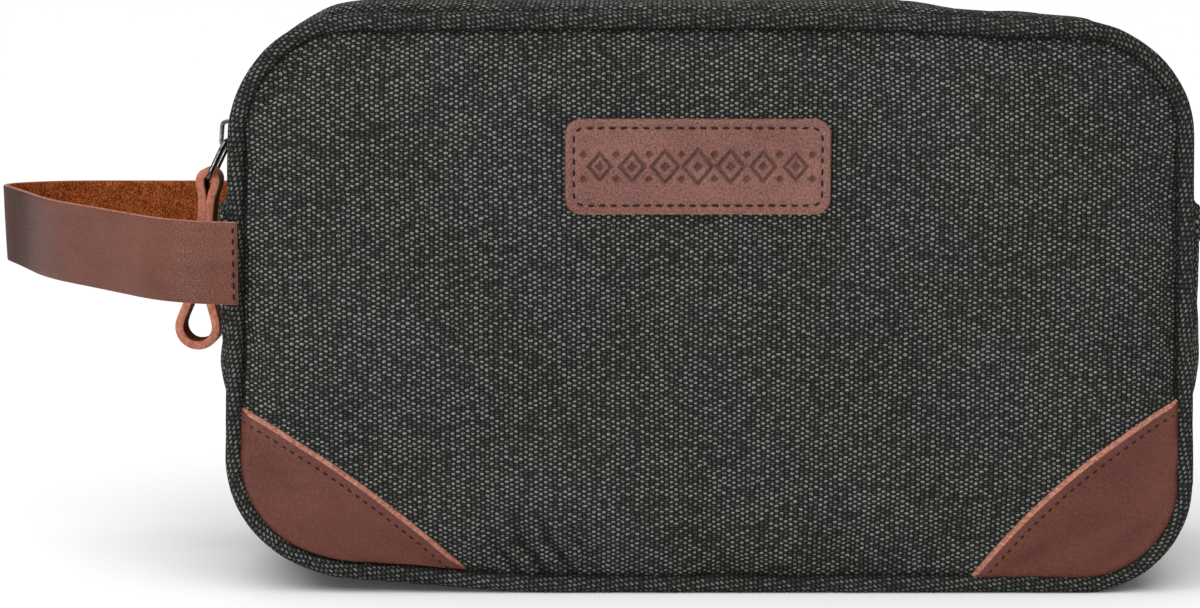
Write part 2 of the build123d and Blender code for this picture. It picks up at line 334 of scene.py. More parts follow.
def leather_material(
    name,
    deep,
    light,
    rough,
    grain,
    bump,
    gloss,
    pressed=False,
    tip=None,
    grittiness=0.5,
    tint=(1.0, 1.0, 1.0),
):
    """Smooth grain leather: fine pebbled grain, pores, cloudy colour, and fine lighter and darker
    flecks that are partly random tone and partly painted glitter of the grain. Where it is pressed,
    the cloth coordinate's third value darkens it. A strap's tip is at the distance tip along it; its
    colour is darkened there as painted shade, and it is duller."""
    paint = Paint(name)
    pebbles = paint.cells(grain)
    creases = paint.cells(grain * 0.55, "DISTANCE_TO_EDGE")
    pores = paint.noise(grain * 2.2, 2.0, 0.6)
    clouds = paint.noise(45, 4.0, 0.62)
    streaks = paint.noise(160, 3.0, 0.55, stretch=(0.35, 1.0, 1.0))
    share = paint.plus(paint.ramp(clouds, 0.28, 0.72, 0.0, 0.65), paint.ramp(streaks, 0.3, 0.7, 0.0, 0.35))
    colour = paint.mix(share, deep, light)
    # Fine lighter and darker flecks: partly random tone, partly painted glitter of the grain.
    grit = paint.noise(grain * 1.1, 2.0, 0.75)
    colour = paint.mix(paint.ramp(grit, 0.35, 0.65, 0.0, grittiness), colour, light)
    colour = paint.mix(paint.ramp(grit, 0.52, 0.30, 0.0, grittiness), colour, deep)
    dimples = paint.ramp(creases, 0.0, 0.09)
    colour = paint.mix(paint.times(paint.minus(1.0, dimples), 0.22), colour, rgb(0.02, 0.008, 0.006))
    colour = paint.mix(paint.ramp(pores, 0.60, 0.72, 0.0, 0.3), colour, rgb(0.03, 0.012, 0.009))
    roughness = paint.ramp(paint.plus(clouds, pores), 0.6, 1.4, rough - 0.07, rough + 0.12)
    # Painted shade: the colour darkens towards the strap's tip, which faces away from the light; the tip is
    # also made rougher.
    if tip is not None:
        reach = paint.math("ABSOLUTE", paint.minus(paint.split(paint.place)[0], tip))
        colour = paint.mix(paint.ramp(reach, 0.0, 50 * MM, 0.80, 0.0), colour, rgb(0.016, 0.004, 0.002))
        roughness = paint.plus(roughness, paint.ramp(reach, 0.0, 35 * MM, 0.38, 0.0))
    if pressed:
        burnt = paint.ramp(paint.split(paint.place)[2], 0.1 * MM, 1.0 * MM, 0.0, 0.6)
        colour = paint.mix(burnt, colour, rgb(0.030, 0.010, 0.007))
    height = paint.minus(paint.times(dimples, 0.8), paint.times(pebbles, 0.6))
    height = paint.plus(height, paint.times(pores, 0.35))
    return paint.finish(
        Base_Color=colour,
        Roughness=roughness,
        Normal=paint.bump(height, bump * MM, 0.6),
        Specular_IOR_Level=gloss,
        Specular_Tint=rgb(*tint),
        Coat_Weight=gloss * 0.15 if tip is None else 0.0,
        Coat_Roughness=0.38,
    )


def flesh_material(name, deep, light):
    """The rough suede side of leather, with short fibres that catch the light."""
    paint = Paint(name)
    fibres = paint.noise(2700, 3.0, 0.75, stretch=(1.0, 0.6, 1.0))
    grit = paint.noise(6000, 2.0, 0.7)
    tufts = paint.noise(260, 2.0, 0.5)
    share = paint.plus(paint.ramp(fibres, 0.42, 0.62, 0.0, 0.62), paint.ramp(grit, 0.42, 0.62, -0.15, 0.50))
    share = paint.plus(share, paint.ramp(tufts, 0.3, 0.7, -0.08, 0.08))
    return paint.finish(
        Base_Color=paint.mix(paint.math("MAXIMUM", paint.held(share), 0.0), deep, light),
        Roughness=paint.ramp(tufts, 0.2, 0.8, 0.85, 0.98),
        Normal=paint.bump(paint.plus(fibres, grit), 0.45 * MM, 0.9),
        Specular_IOR_Level=0.06,
    )


def edge_material(name, deep, light):
    """A raw cut edge of leather, paler than its faces and slightly fibrous in layers."""
    paint = Paint(name)
    layers = paint.noise(900, 4.0, 0.7)
    blots = paint.noise(300, 3.0, 0.6)
    share = paint.times(paint.ramp(layers, 0.3, 0.7), paint.ramp(blots, 0.2, 0.75, 0.5, 1.1))
    return paint.finish(
        Base_Color=paint.mix(paint.held(share), deep, light),
        Roughness=paint.ramp(blots, 0.2, 0.8, 0.6, 0.85),
        Normal=paint.bump(layers, 0.12 * MM, 0.7),
        Specular_IOR_Level=0.3,
    )


def thread_material(name, deep, light):
    """Twisted sewing thread."""
    paint = Paint(name)
    x, y, _ = paint.split(paint.place)
    twist = paint.math("SINE", paint.times(paint.plus(x, y), math.pi / (0.22 * MM)))
    blots = paint.noise(500, 2.0)
    share = paint.times(paint.ramp(twist, -0.6, 0.8), paint.ramp(blots, 0.2, 0.8, 0.6, 1.0))
    return paint.finish(
        Base_Color=paint.mix(share, deep, light),
        Roughness=paint.ramp(blots, 0.2, 0.8, 0.45, 0.65),
        Normal=paint.bump(twist, 0.05 * MM, 0.8),
        Specular_IOR_Level=0.15,
    )


def metal_material(name, deep, light, rough, placed=False):
    """Dark plated metal with fine scratches, smudges and rubbed edges."""
    paint = Paint(name, placed)
    smudge = paint.noise(350, 4.0, 0.6)
    scratches = paint.noise(700, 4.0, 0.7, stretch=(1.0, 8.0, 1.0))
    share = paint.ramp(paint.plus(smudge, scratches), 0.7, 1.3)
    return paint.finish(
        Base_Color=paint.mix(share, deep, light),
        Metallic=1.0,
        Roughness=paint.ramp(scratches, 0.25, 0.75, rough * 0.7, rough * 1.5),
        Normal=paint.bump(scratches, 0.01 * MM, 0.5),
    )


def foam_material(name, deep, light, rough=0.9):
    """Cellular padding or pressed board."""
    paint = Paint(name, False)
    bubbles = paint.cells(1400)
    clouds = paint.noise(60, 3.0)
    share = paint.times(paint.ramp(bubbles, 0.1, 0.8), paint.ramp(clouds, 0.2, 0.8, 0.6, 1.0))
    return paint.finish(
        Base_Color=paint.mix(share, deep, light),
        Roughness=paint.ramp(clouds, 0.2, 0.8, rough - 0.1, rough + 0.05),
        Normal=paint.bump(bubbles, 0.15 * MM, 0.5),
    )


CANVAS_CLOTH = canvas_material("waxed_canvas")
# The piping's canvas is a darker copy of the panel canvas: painted shade on the roll.
PIPING_SHADED_CANVAS = canvas_material("piping_canvas", 0.76)
LINING = cloth_material(
    "lining_cloth", rgb(0.035, 0.033, 0.031), rgb(0.085, 0.080, 0.075), 0.5 * MM, placed=False
)
TAPE = cloth_material("zip_tape_cloth", rgb(0.006, 0.006, 0.0065), rgb(0.030, 0.030, 0.032), 0.6 * MM)
BINDING = cloth_material(
    "binding_tape", rgb(0.010, 0.010, 0.010), rgb(0.040, 0.040, 0.042), 0.7 * MM, placed=False
)
TRIM_LEATHER = leather_material(
    "trim_leather", rgb(0.080, 0.020, 0.013), rgb(0.132, 0.042, 0.029), 0.46, 1300, 0.12, 0.22
)
LABEL_LEATHER = leather_material(
    "label_leather",
    rgb(0.085, 0.026, 0.018),
    rgb(0.235, 0.105, 0.084),
    0.44,
    1500,
    0.22,
    0.3,
    pressed=True,
    grittiness=0.8,
)
STRAP_LEATHER = leather_material(
    "strap_leather",
    rgb(0.080, 0.023, 0.014),
    rgb(0.165, 0.056, 0.038),
    0.34,
    2000,
    0.24,
    0.36,
    tip=0.103,
    tint=(1.0, 0.82, 0.74),
)
FLESH = flesh_material("leather_flesh", rgb(0.050, 0.008, 0.002), rgb(0.78, 0.20, 0.048))
# The pull's grain and flesh colours are partly its own tan and partly painted light, made lighter on faces
# that lie in the bag's shadow.
PULL_LEATHER = leather_material(
    "pull_leather_grain", rgb(0.20, 0.060, 0.038), rgb(0.31, 0.105, 0.070), 0.5, 1400, 0.10, 0.2
)
PULL_FLESH = flesh_material("pull_flesh", rgb(0.080, 0.020, 0.007), rgb(0.50, 0.17, 0.065))
CUT_EDGE = edge_material("cut_edge", rgb(0.20, 0.070, 0.045), rgb(0.50, 0.22, 0.155))
PULL_EDGE = edge_material("pull_cut_edge", rgb(0.36, 0.11, 0.062), rgb(0.66, 0.27, 0.17))
# A darker copy of the cut edge: painted shade round the label's top and sides.
SHADED_CUT_EDGE = edge_material("shaded_cut_edge", rgb(0.07, 0.025, 0.018), rgb(0.20, 0.09, 0.07))
THREAD = thread_material("brown_thread", rgb(0.008, 0.004, 0.003), rgb(0.036, 0.015, 0.012))
BLACK_THREAD = thread_material("black_thread", rgb(0.010, 0.010, 0.010), rgb(0.050, 0.050, 0.048))
GUNMETAL = metal_material("gunmetal", rgb(0.045, 0.043, 0.042), rgb(0.20, 0.195, 0.19), 0.17)
TEETH_METAL = metal_material("teeth_metal", rgb(0.10, 0.095, 0.09), rgb(0.34, 0.33, 0.31), 0.32, True)
FOAM = foam_material("foam", rgb(0.45, 0.45, 0.43), rgb(0.75, 0.75, 0.72))
BOARD = foam_material("board", rgb(0.012, 0.012, 0.012), rgb(0.040, 0.040, 0.040), 0.6)


# ---------------------------------------------------------------- mesh helpers

TUBE_SIDES = 8


def squared(value, power):
    """A sine or cosine made flatter at its ends, so that a round section turns squarer."""
    return math.copysign(abs(value) ** power, value)


def climb(value, start, reach):
    """A share that is 0 up to start and then rises evenly to 1 over reach."""
    return np.clip((value - start) / reach, 0, 1)


def eased(share):
    """A share from 0 to 1 that starts and ends gently."""
    return share**2 * (3 - 2 * share)


def run_length(places):
    """Distance along a line at each of its points."""
    return np.concatenate([[0], np.cumsum(np.linalg.norm(np.diff(places, axis=0), axis=1))])


class Shape:
    """Points and faces of one piece, with a cloth coordinate at each point."""

    def __init__(self):
        self.points = []
        self.cloth = []
        self.faces = []
        self.kinds = []

    def put(self, points, cloth):
        """Add points and return their indices, in the same arrangement."""
        points, cloth = np.asarray(points, float), np.asarray(cloth, float)
        start = len(self.points)
        self.points.extend(points.reshape(-1, 3).tolist())
        self.cloth.extend(cloth.reshape(-1, 3).tolist())
        return start + np.arange(points[..., 0].size).reshape(points.shape[:-1])

    def quads(self, index, kind=0, closed=False, flip=False):
        """Add a face for each cell of a table of point indices."""
        if closed:
            index = np.concatenate([index, index[:, :1]], axis=1)
        for low, high in zip(index[:-1].tolist(), index[1:].tolist()):
            for j in range(len(low) - 1):
                face = (low[j], low[j + 1], high[j + 1], high[j])
                self.faces.append(face[::-1] if flip else face)
                self.kinds.append(kind)

    def grid(self, rows, cloth, kind=0, closed=False, flip=False):
        """Add a grid of faces over a table of points."""
        index = self.put(rows, cloth)
        self.quads(index, kind, closed, flip)
        return index

    def tube(self, centres, sides, ups, radii):
        """Add a closed tube along centres; sides and ups span its rings, radii gives each ring's
        sizes along them."""
        angles = np.linspace(0, 2 * math.pi, TUBE_SIDES, endpoint=False)
        rows, cloth = [], []
        for centre, side, up, (wide, high), run in zip(centres, sides, ups, radii, run_length(centres)):
            rows.append(
                centre + np.outer(np.cos(angles) * wide, side) + np.outer(np.sin(angles) * high, up)
            )
            cloth.append([(run, angle * wide, 0) for angle in angles])
        index = self.grid(rows, cloth, closed=True)
        for ring in (index[0], index[-1][::-1]):
            self.faces.append(tuple(ring.tolist()))
            self.kinds.append(0)

    def kept(self):
        """Drop the points that no face uses."""
        used = sorted({index for face in self.faces for index in face})
        place = {index: n for n, index in enumerate(used)}
        self.points = [self.points[index] for index in used]
        self.cloth = [self.cloth[index] for index in used]
        self.faces = [tuple(place[index] for index in face) for face in self.faces]
        return self

    def build(self, name, materials, slot=None):
        """Make the object. Each face's kind is the index of its material."""
        mesh = bpy.data.meshes.new(name)
        mesh.from_pydata(self.points, [], self.faces)
        attribute = mesh.attributes.new("cloth", "FLOAT_VECTOR", "POINT")
        attribute.data.foreach_set("vector", np.array(self.cloth, float).ravel())
        for material in materials:
            mesh.materials.append(material)
        mesh.polygons.foreach_set("material_index", self.kinds)
        mesh.polygons.foreach_set("use_smooth", [True] * len(self.faces))
        mesh.update()
        piece = bpy.data.objects.new(name, mesh)
        bpy.context.scene.collection.objects.link(piece)
        return piece


def apply_modifiers(piece):
    """Turn a piece's modifiers into its mesh."""
    bpy.context.view_layer.update()
    seen = bpy.context.evaluated_depsgraph_get()
    mesh = bpy.data.meshes.new_from_object(piece.evaluated_get(seen), depsgraph=seen)
    piece.modifiers.clear()
    old = piece.data
    piece.data = mesh
    bpy.data.meshes.remove(old)
    mesh.name = piece.name
    return piece


def thicken(piece, thickness, inner=0, rim=0, bevel=0.0, levels=0):
    """Round out a sheet, then give it its thickness below its face."""
    if levels:
        smooth = piece.modifiers.new("smooth", "SUBSURF")
        smooth.levels = levels
        smooth.render_levels = levels
    solid = piece.modifiers.new("solid", "SOLIDIFY")
    solid.thickness = thickness
    solid.offset = -1
    solid.material_offset = inner
    solid.material_offset_rim = rim
    if bevel:
        edge = piece.modifiers.new("edge", "BEVEL")
        edge.width = bevel
        edge.segments = 3
        edge.limit_method = "ANGLE"
        edge.angle_limit = math.radians(50)
    apply_modifiers(piece)
    piece.data.set_sharp_from_angle(angle=math.radians(50))
    return piece


def stitch_line(shape, points, out, pitch, length, radius):
    """Add a row of stitches along a line of points on a surface that faces the way out."""
    points, out = np.asarray(points, float), np.asarray(out, float)
    run = run_length(points)

    def at(distance):
        return np.array([np.interp(distance, run, points[:, k]) for k in range(3)])

    count = max(1, int(run[-1] / pitch))
    step = run[-1] / count
    sink = 0.35
    shares = np.array([0, 0.12, 0.3, 0.5, 0.7, 0.88, 1.0])
    lifts = np.array([-1.5, -0.35, 0.55, 0.8, 0.55, -0.35, -1.5])
    swell = np.array([0.45, 0.8, 1.0, 1.05, 1.0, 0.8, 0.45])
    for n in range(count):
        middle = (n + 0.5) * step + random.uniform(-0.02, 0.02) * step
        centres, sides, radii = [], [], []
        lean = random.uniform(-0.06, 0.06) * length
        for share, lift, size in zip(shares, lifts, swell):
            distance = min(max(middle + (share - 0.5) * length, 0), run[-1])
            forward = at(min(distance + 0.2 * MM, run[-1])) - at(max(distance - 0.2 * MM, 0))
            side = np.cross(out, forward / np.linalg.norm(forward))
            centres.append(at(distance) + out * radius * (lift - sink) + side * lean * (share - 0.5))
            sides.append(side)
            radii.append((radius * size, radius * size * 0.85))
        shape.tube(centres, sides, [out] * len(centres), radii)


def sew(name, material, slot, lines, pitch, length, radius):
    """Build rows of stitches, each given by its line of points and the way that it faces."""
    thread = Shape()
    for line, out in lines:
        stitch_line(thread, line, out, pitch, length, radius)
    settle(thread.build(name, [material], slot), "bag")


# ---------------------------------------------------------------- outline of the bag


def rounded_outline(half, low, high, corners, hem, bow=0.0):
    """Points (x, z) and outward normals round the bag seen from the front, anticlockwise from
    the foot of the right side. STRETCHES says how many points each stretch gets."""
    right_low = (half, low + corners["base_right"])
    top_right = (half - corners["top_right"], high - corners["top_right"])
    top_left = (-half + corners["top_left"], high - corners["top_left"])
    base_left = (-half + corners["base_left"], low + corners["base_left"])
    base_right = (half - corners["base_right"], low + corners["base_right"])

    def straight(a, b, out, count, bulge=0.0):
        share = np.arange(count) / count
        lift = bulge * np.sin(math.pi * share)
        return [
            ((a[0] + (b[0] - a[0]) * s + out[0] * w, a[1] + (b[1] - a[1]) * s + out[1] * w), out)
            for s, w in zip(share, lift)
        ]

    def arc(centre, radius, start, count):
        angles = math.radians(start) + math.pi / 2 * np.arange(count) / count
        return [
            ((centre[0] + radius * c, centre[1] + radius * s), (c, s))
            for c, s in ((math.cos(a), math.sin(a)) for a in angles)
        ]

    count = dict(STRETCHES)
    places = []
    places += straight(right_low, (half, hem), (1, 0), count["right_low"])
    places += straight((half, hem), (half, top_right[1]), (1, 0), count["right_high"])
    places += arc(top_right, corners["top_right"], 0, count["top_right"])
    places += straight((top_right[0], high), (top_left[0], high), (0, 1), count["top"], bow)
    places += arc(top_left, corners["top_left"], 90, count["top_left"])
    places += straight((-half, top_left[1]), (-half, hem), (-1, 0), count["left_high"])
    places += straight((-half, hem), (-half, base_left[1]), (-1, 0), count["left_low"])
    places += arc(base_left, corners["base_left"], 180, count["base_left"])
    places += straight((base_left[0], low), (base_right[0], low), (0, -1), count["base"])
    places += arc(base_right, corners["base_right"], 270, count["base_right"])
    return np.array([p for p, _ in places]), np.array([n for _, n in places])


def stretch_start(name):
    """Index of the first outline point of a stretch."""
    total = 0
    for stretch, count in STRETCHES:
        if stretch == name:
            return total
        total += count


FACE_SHRINK = (0.996, 0.991)
TAPER = 0.030
BASE_LIFT = 4.4 * MM
TOP_DROOP = 1.8 * MM
FACE_BOW = 0.6 * MM
# The mouth's flaps reach from -MOUTH_END to MOUTH_END and bend with the bag down to BLEND_END.
MOUTH_END = 0.084
BLEND_END = 0.040
TOP_SAG = 0.5 * MM
RIGHT_SAG = 3.1 * MM
SAG_HEIGHT = 0.110


def warp(points):
    """The face's real outline: a little wider at the base, its base edge lifting at the left and
    its top edge drooping at the right."""
    points = np.array(points, float)
    x, z = points[..., 0], points[..., -1]
    rise = z / FACE_HIGH
    wide = FACE_SHRINK[0] + TAPER * (0.5 - rise)
    lift = BASE_LIFT * eased(climb(-x / FACE_HALF, 0.30, 0.55)) * np.clip(1 - rise * 2.2, 0, 1)
    droop = TOP_DROOP * eased(climb(x, 0.035, 0.055)) * climb(rise, 0.80, 0.15)
    points[..., 0] = x * wide
    points[..., -1] = z * FACE_SHRINK[1] + lift - droop
    return points


def face_outline(inset):
    """The front face's outline, moved inwards, with the bag's small irregularities."""
    corners = {key: radius - inset for key, radius in FACE_CORNERS.items()}
    places, outs = rounded_outline(FACE_HALF - inset, inset, FACE_HIGH - inset, corners, HEM_TOP, FACE_BOW)
    return warp(places), outs


def sag(places):
    """Let the zip's line sink between the faces, most of all away from the slider's end."""
    places = np.array(places, float)
    x, z = places[..., 0], places[..., -1]
    depth = TOP_SAG * eased(climb(x, -MOUTH_END, 0.034))
    depth += RIGHT_SAG * eased(climb(x, BLEND_END, 0.055))
    places[..., -1] -= depth * eased(climb(z, SAG_HEIGHT, 0.040))
    return places


def gusset_outline(inset):
    """The gusset's outline at the zip: as the frame has it, but for its sag."""
    corners = {key: radius - inset for key, radius in MID_CORNERS.items()}
    places, outs = rounded_outline(GUSSET_HALF - inset, inset, GUSSET_HIGH - inset, corners, HEM_TOP)
    return sag(places), outs


# ---------------------------------------------------------------- shell of canvas

COUNT = sum(count for _, count in STRETCHES)
TOP_RIGHT = stretch_start("top_right") + 8
TOP_LEFT = stretch_start("top_left") + 8
BASE_LEFT = stretch_start("base_left") + 8
BASE_RIGHT = stretch_start("base_right") + 8
RIGHT_HEM = stretch_start("right_high") - 1
LEFT_HEM = stretch_start("left_low") + 1
TOP_MIDDLE = stretch_start("top") + 33

# Insets of the rings round a face, from its seam inwards.
RINGS = tuple(inset * MM for inset in (3.2, 3.7, 4.5, 5.8, 7.6))
SEAM_DEPTH = 41.0 * MM
PANEL_RISE = 3.0 * MM
# Depths in mm of the gusset's rows from the seam to the zip, and the first ones' share of the
# drop to the seam. ACROSS has the rows between the zip's two sides, with faces only on the gusset.
SHOULDERS = (41.3, 41.2, 41.0, 40.7, 40.2, 39.5, 38.4, 36.5, 34, 31, 27.5, 24, 20, 16, 12)
SHOULDER_DROP = (1.0, 0.8, 0.6, 0.42, 0.25, 0.12, 0.06, 0.02)
ACROSS = (8, 4, 0, -4, -8)
ZIP_ROW = 13
# Heights above and below which the gusset slopes towards the seam round the corners.
HIGH_SLOPE = 0.106
LOW_SLOPE = 0.064
HINGE_ROW = SHOULDERS.index(39.5)


def coons(ring):
    """Fill a closed outline with a grid whose corners are the middles of the outline's arcs."""
    base = ring[BASE_LEFT : BASE_RIGHT + 1]
    top = ring[TOP_RIGHT : TOP_LEFT + 1][::-1]
    left = ring[TOP_LEFT : BASE_LEFT + 1][::-1]
    right = np.concatenate([ring[BASE_RIGHT:], ring[: TOP_RIGHT + 1]])
    u = np.linspace(0, 1, len(base))[None, :, None]
    v = np.linspace(0, 1, len(left))[:, None, None]
    ruled = (1 - v) * base[None] + v * top[None] + (1 - u) * left[:, None] + u * right[:, None]
    corners = (1 - u) * (1 - v) * base[0] + u * (1 - v) * base[-1]
    return ruled - corners - (1 - u) * v * top[0] - u * v * top[-1]


def edge_distance(places, outline):
    """How far each place is from the nearest point of a closed outline."""
    flat = places.reshape(-1, 2)
    best = np.full(len(flat), 1e9)
    for a, b in zip(outline, np.roll(outline, -1, axis=0)):
        along = b - a
        share = np.clip(((flat - a) @ along) / max(along @ along, 1e-12), 0, 1)
        gap = np.linalg.norm(flat - a - share[:, None] * along, axis=1)
        best = np.minimum(best, gap)
    return best.reshape(places.shape[:-1])


def ripple(x, y, seed, scale):
    """Smooth noise from about -1 to 1."""
    return noise.noise(Vector((x / scale, y / scale, seed * 7.31)))


def panel_net(shape, side):
    """Add one face's canvas to a shape. Returns the indices of its rings and of its grid."""
    rings = [face_outline(inset)[0] for inset in RINGS]
    grid = coons(rings[-1])

    def lift(places, distance):
        depth = SEAM_DEPTH + PANEL_RISE * (1 - np.exp(-distance / (2.6 * MM)))
        return np.stack([places[..., 0], side * depth, places[..., 1]], axis=-1)

    def cloth(places, distance):
        shade = np.exp(-((distance / (2.3 * MM)) ** 2)) * MM
        return np.stack([places[..., 0], places[..., 1], shade], axis=-1)

    index = []
    for ring, inset in zip(rings, RINGS):
        distance = np.full(COUNT, inset - RINGS[0])
        index.append(shape.put(lift(ring, distance), cloth(ring, distance)))
    inner = grid[1:-1, 1:-1]
    gap = edge_distance(inner, rings[0])
    inner_index = shape.put(lift(inner, gap), cloth(inner, gap))
    table = np.zeros(grid.shape[:2], int)
    table[1:-1, 1:-1] = inner_index
    edge = index[-1]
    table[0] = edge[BASE_LEFT : BASE_RIGHT + 1]
    table[-1] = edge[TOP_RIGHT : TOP_LEFT + 1][::-1]
    table[:, 0] = edge[TOP_LEFT : BASE_LEFT + 1][::-1]
    table[:, -1] = np.concatenate([edge[BASE_RIGHT:], edge[: TOP_RIGHT + 1]])
    shape.quads(np.array(index), closed=True, flip=side > 0)
    shape.quads(table, flip=side > 0)
    return np.array(index), table


def gusset_rows():
    """Depth of each row of the gusset and its share of the drop from the gusset to the seam."""
    drops = SHOULDER_DROP + (0.0,) * (len(SHOULDERS) - len(SHOULDER_DROP))
    front = [(-y * MM, drop) for y, drop in zip(SHOULDERS, drops)]
    middle = [(-y * MM, 0.0) for y in ACROSS]
    return front + middle + [(-y, drop) for y, drop in reversed(front)]


def band_line(y, inset, drop=0.0):
    """The gusset's outline at depth y. Over the top it stands up as a puffed edge; round the
    corners beside the zip, and round the base's corners, it slopes towards the seam."""
    outer, outs = gusset_outline(inset)
    seam, _ = face_outline(inset + 2.0 * MM)
    side, height, up = outer[:, 0], outer[:, 1], outs[:, 1]
    high = climb(height, HIGH_SLOPE, 0.006) * climb(-up, -0.950, 0.03)
    low = climb(-height, -LOW_SLOPE, 0.024)
    low *= np.where(side < 0, climb(-side, 0.040, 0.062), climb(side, 0.085, 0.020))
    slope = climb(abs(y) / MM, ZIP_ROW, SHOULDERS[0] - ZIP_ROW)
    share = np.full(COUNT, drop)
    for sloping, steepness in ((high, 1.25), (low, 0.9)):
        share += (max(slope**steepness, drop) - drop) * eased(sloping)
    return outer * (1 - share[:, None]) + seam * share[:, None]


def gusset_net(shape):
    """Add the band round the bag, from the front seam to the back seam."""
    outer, _ = gusset_outline(0)
    run = run_length(np.concatenate([outer, outer[:1]]))[:-1]
    rows = []
    for y, drop in gusset_rows():
        place = band_line(y, 0, drop)
        rows.append(np.stack([place[:, 0], np.full(COUNT, y), place[:, 1]], axis=-1))
    rows = np.array(rows)
    across = np.linalg.norm(np.diff(rows, axis=0), axis=-1)
    across = np.concatenate([np.zeros((1, COUNT)), np.cumsum(across, axis=0)])
    across -= across[len(rows) // 2]
    shade = climb(np.abs(rows[..., 1]), 39.6 * MM, 1.5 * MM) * MM
    cloth = np.stack([np.tile(run, (len(rows), 1)), across, shade], axis=-1)
    return shape.put(rows, cloth)


shell = Shape()
front_rings, front_grid = panel_net(shell, -1)
back_rings, back_grid = panel_net(shell, 1)
band = gusset_net(shell)
ROWS = len(band)
LAST = len(SHOULDERS) - 1
wrap = np.concatenate([np.arange(LEFT_HEM, COUNT), np.arange(0, RIGHT_HEM + 1)])
top_run = np.arange(RIGHT_HEM, LEFT_HEM + 1)
shell.quads(band[:, wrap], flip=True)
shell.quads(band[: LAST + 1][:, top_run], flip=True)
shell.quads(band[ROWS - LAST - 1 :][:, top_run], flip=True)

rest = np.array(shell.points)
pins = np.zeros(len(rest))
pins[front_rings[:2].ravel()] = 1
pins[back_rings[:2].ravel()] = 1
pins[band[[0, 1, ROWS - 2, ROWS - 1]].ravel()] = 1
for row in range(ROWS):
    near_hinge = row <= HINGE_ROW + 1 or row >= ROWS - HINGE_ROW - 2
    near_zip = LAST - 1 <= row <= ROWS - LAST
    if near_hinge or near_zip:
        pins[band[row, top_run]] = 1
hem_index = band[:, wrap]
hem_height = rest[hem_index][..., 2]
pins[hem_index] = np.maximum(pins[hem_index], climb(hem_height, 0.078, 0.02))


def simulate(shape, weights, pressure, frames=20):
    """Inflate a shape as cloth that is held where weights is 1. Returns its new points."""
    piece = shape.build("shell_work", [])
    group = piece.vertex_groups.new(name="pins")
    for index, weight in enumerate(weights.tolist()):
        group.add([index], weight, "REPLACE")
    cloth = piece.modifiers.new("cloth", "CLOTH")
    settings = cloth.settings
    settings.vertex_group_mass = "pins"
    settings.quality = 5
    settings.mass = 0.3
    settings.tension_stiffness = 20
    settings.compression_stiffness = 20
    settings.shear_stiffness = 8
    settings.bending_stiffness = 1.5
    settings.use_pressure = True
    settings.uniform_pressure_force = pressure
    settings.shrink_min = -0.012
    settings.effector_weights.gravity = 0
    cloth.point_cache.frame_start = 1
    cloth.point_cache.frame_end = frames
    for frame in range(1, frames + 1):
        bpy.context.scene.frame_set(frame)
    seen = piece.evaluated_get(bpy.context.evaluated_depsgraph_get()).data
    moved = np.zeros(len(seen.vertices) * 3)
    seen.vertices.foreach_get("co", moved)
    bpy.data.objects.remove(piece)
    bpy.context.scene.frame_set(1)
    return moved.reshape(-1, 3)


def capped(shift, cap):
    """Shorten shifts smoothly, so that none is longer than cap."""
    length = np.linalg.norm(shift, axis=1, keepdims=True)
    return shift * (cap * np.tanh(length / cap) / np.maximum(length, 1e-12))


shift = np.zeros_like(rest)
shift = simulate(shell, pins, 1.6) - rest
# The cloth bulges less behind the leather pull, which hangs close to it.
behind_pull = (rest[:, 0] < -0.11) * np.exp(-((rest[:, 1] / (15 * MM)) ** 2))
shift *= 1 - 0.85 * behind_pull[:, None]
points = rest + capped(shift, 3.8 * MM)

for table in (front_grid, back_grid):
    for index in table.ravel():
        x, y, z = points[index]
        side = -1 if y < 0 else 1
        swell = 0.30 * ripple(x, z, 1 + side, 0.055) + 0.16 * ripple(x, z, 4 + side, 0.021)
        swell += 0.07 * ripple(x, z, 8 + side, 0.009)
        points[index, 1] += side * swell * MM
for index in band.ravel():
    x, y, z = points[index]
    share = 1 - pins[index]
    if share > 0:
        out = Vector((x, 0, z - 0.08)).normalized()
        swell = share * MM * (0.5 * ripple(x + z, y, 11, 0.03) + 0.2 * ripple(x - z, y, 13, 0.012))
        points[index] += np.array(out) * swell
points[:, 2] = np.maximum(points[:, 2], 0.0)

# ---------------------------------------------------------------- panels


def piece_of(index_tables, name, materials, slot, flips, closed=()):
    """Build a piece from some of the shell's tables of points."""
    piece = Shape()
    piece.points, piece.cloth = points.tolist(), list(shell.cloth)
    for n, table in enumerate(index_tables):
        piece.quads(np.asarray(table), closed=n in closed, flip=flips)
    return piece.kept().build(name, materials, slot)


def settle(piece, body, *nodes):
    """Let a finished piece ride on a body and stand for CAD nodes."""
    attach(piece, body)
    if nodes:
        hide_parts(*nodes)
    return piece


def pucker(panel, middle, reach, wave, depth):
    """Gather a panel's cloth into short folds above its base seam."""
    shade = panel.data.attributes["cloth"].data
    for n, vertex in enumerate(panel.data.vertices):
        x, z = vertex.co.x - middle[0], vertex.co.z - middle[1]
        strength = math.exp(-((x / reach[0]) ** 2) - (z / reach[1]) ** 2)
        if strength > 0.02:
            fold = math.sin((x + 0.45 * z + 0.0012 * math.sin(z / 0.004)) * 2 * math.pi / wave)
            vertex.co.y -= depth * strength * fold
            shade[n].vector[2] += 1.9 * MM * strength * max(-fold, 0) ** 2


SIDES = {"front": -1, "back": 1}
NETS = {"front": (front_rings, front_grid), "back": (back_rings, back_grid)}
panels = {}
for name, side in SIDES.items():
    panel = piece_of(NETS[name], f"{name}_canvas", [CANVAS_CLOTH], "canvas", side > 0, (0,))
    thicken(panel, 1.2 * MM, levels=1)
    if side < 0:
        pucker(panel, (-0.047, 0.011), (0.015, 0.011), 0.0078, 1.05 * MM)
    panels[name] = panel
    settle(panel, "bag", f"{name}_panel")


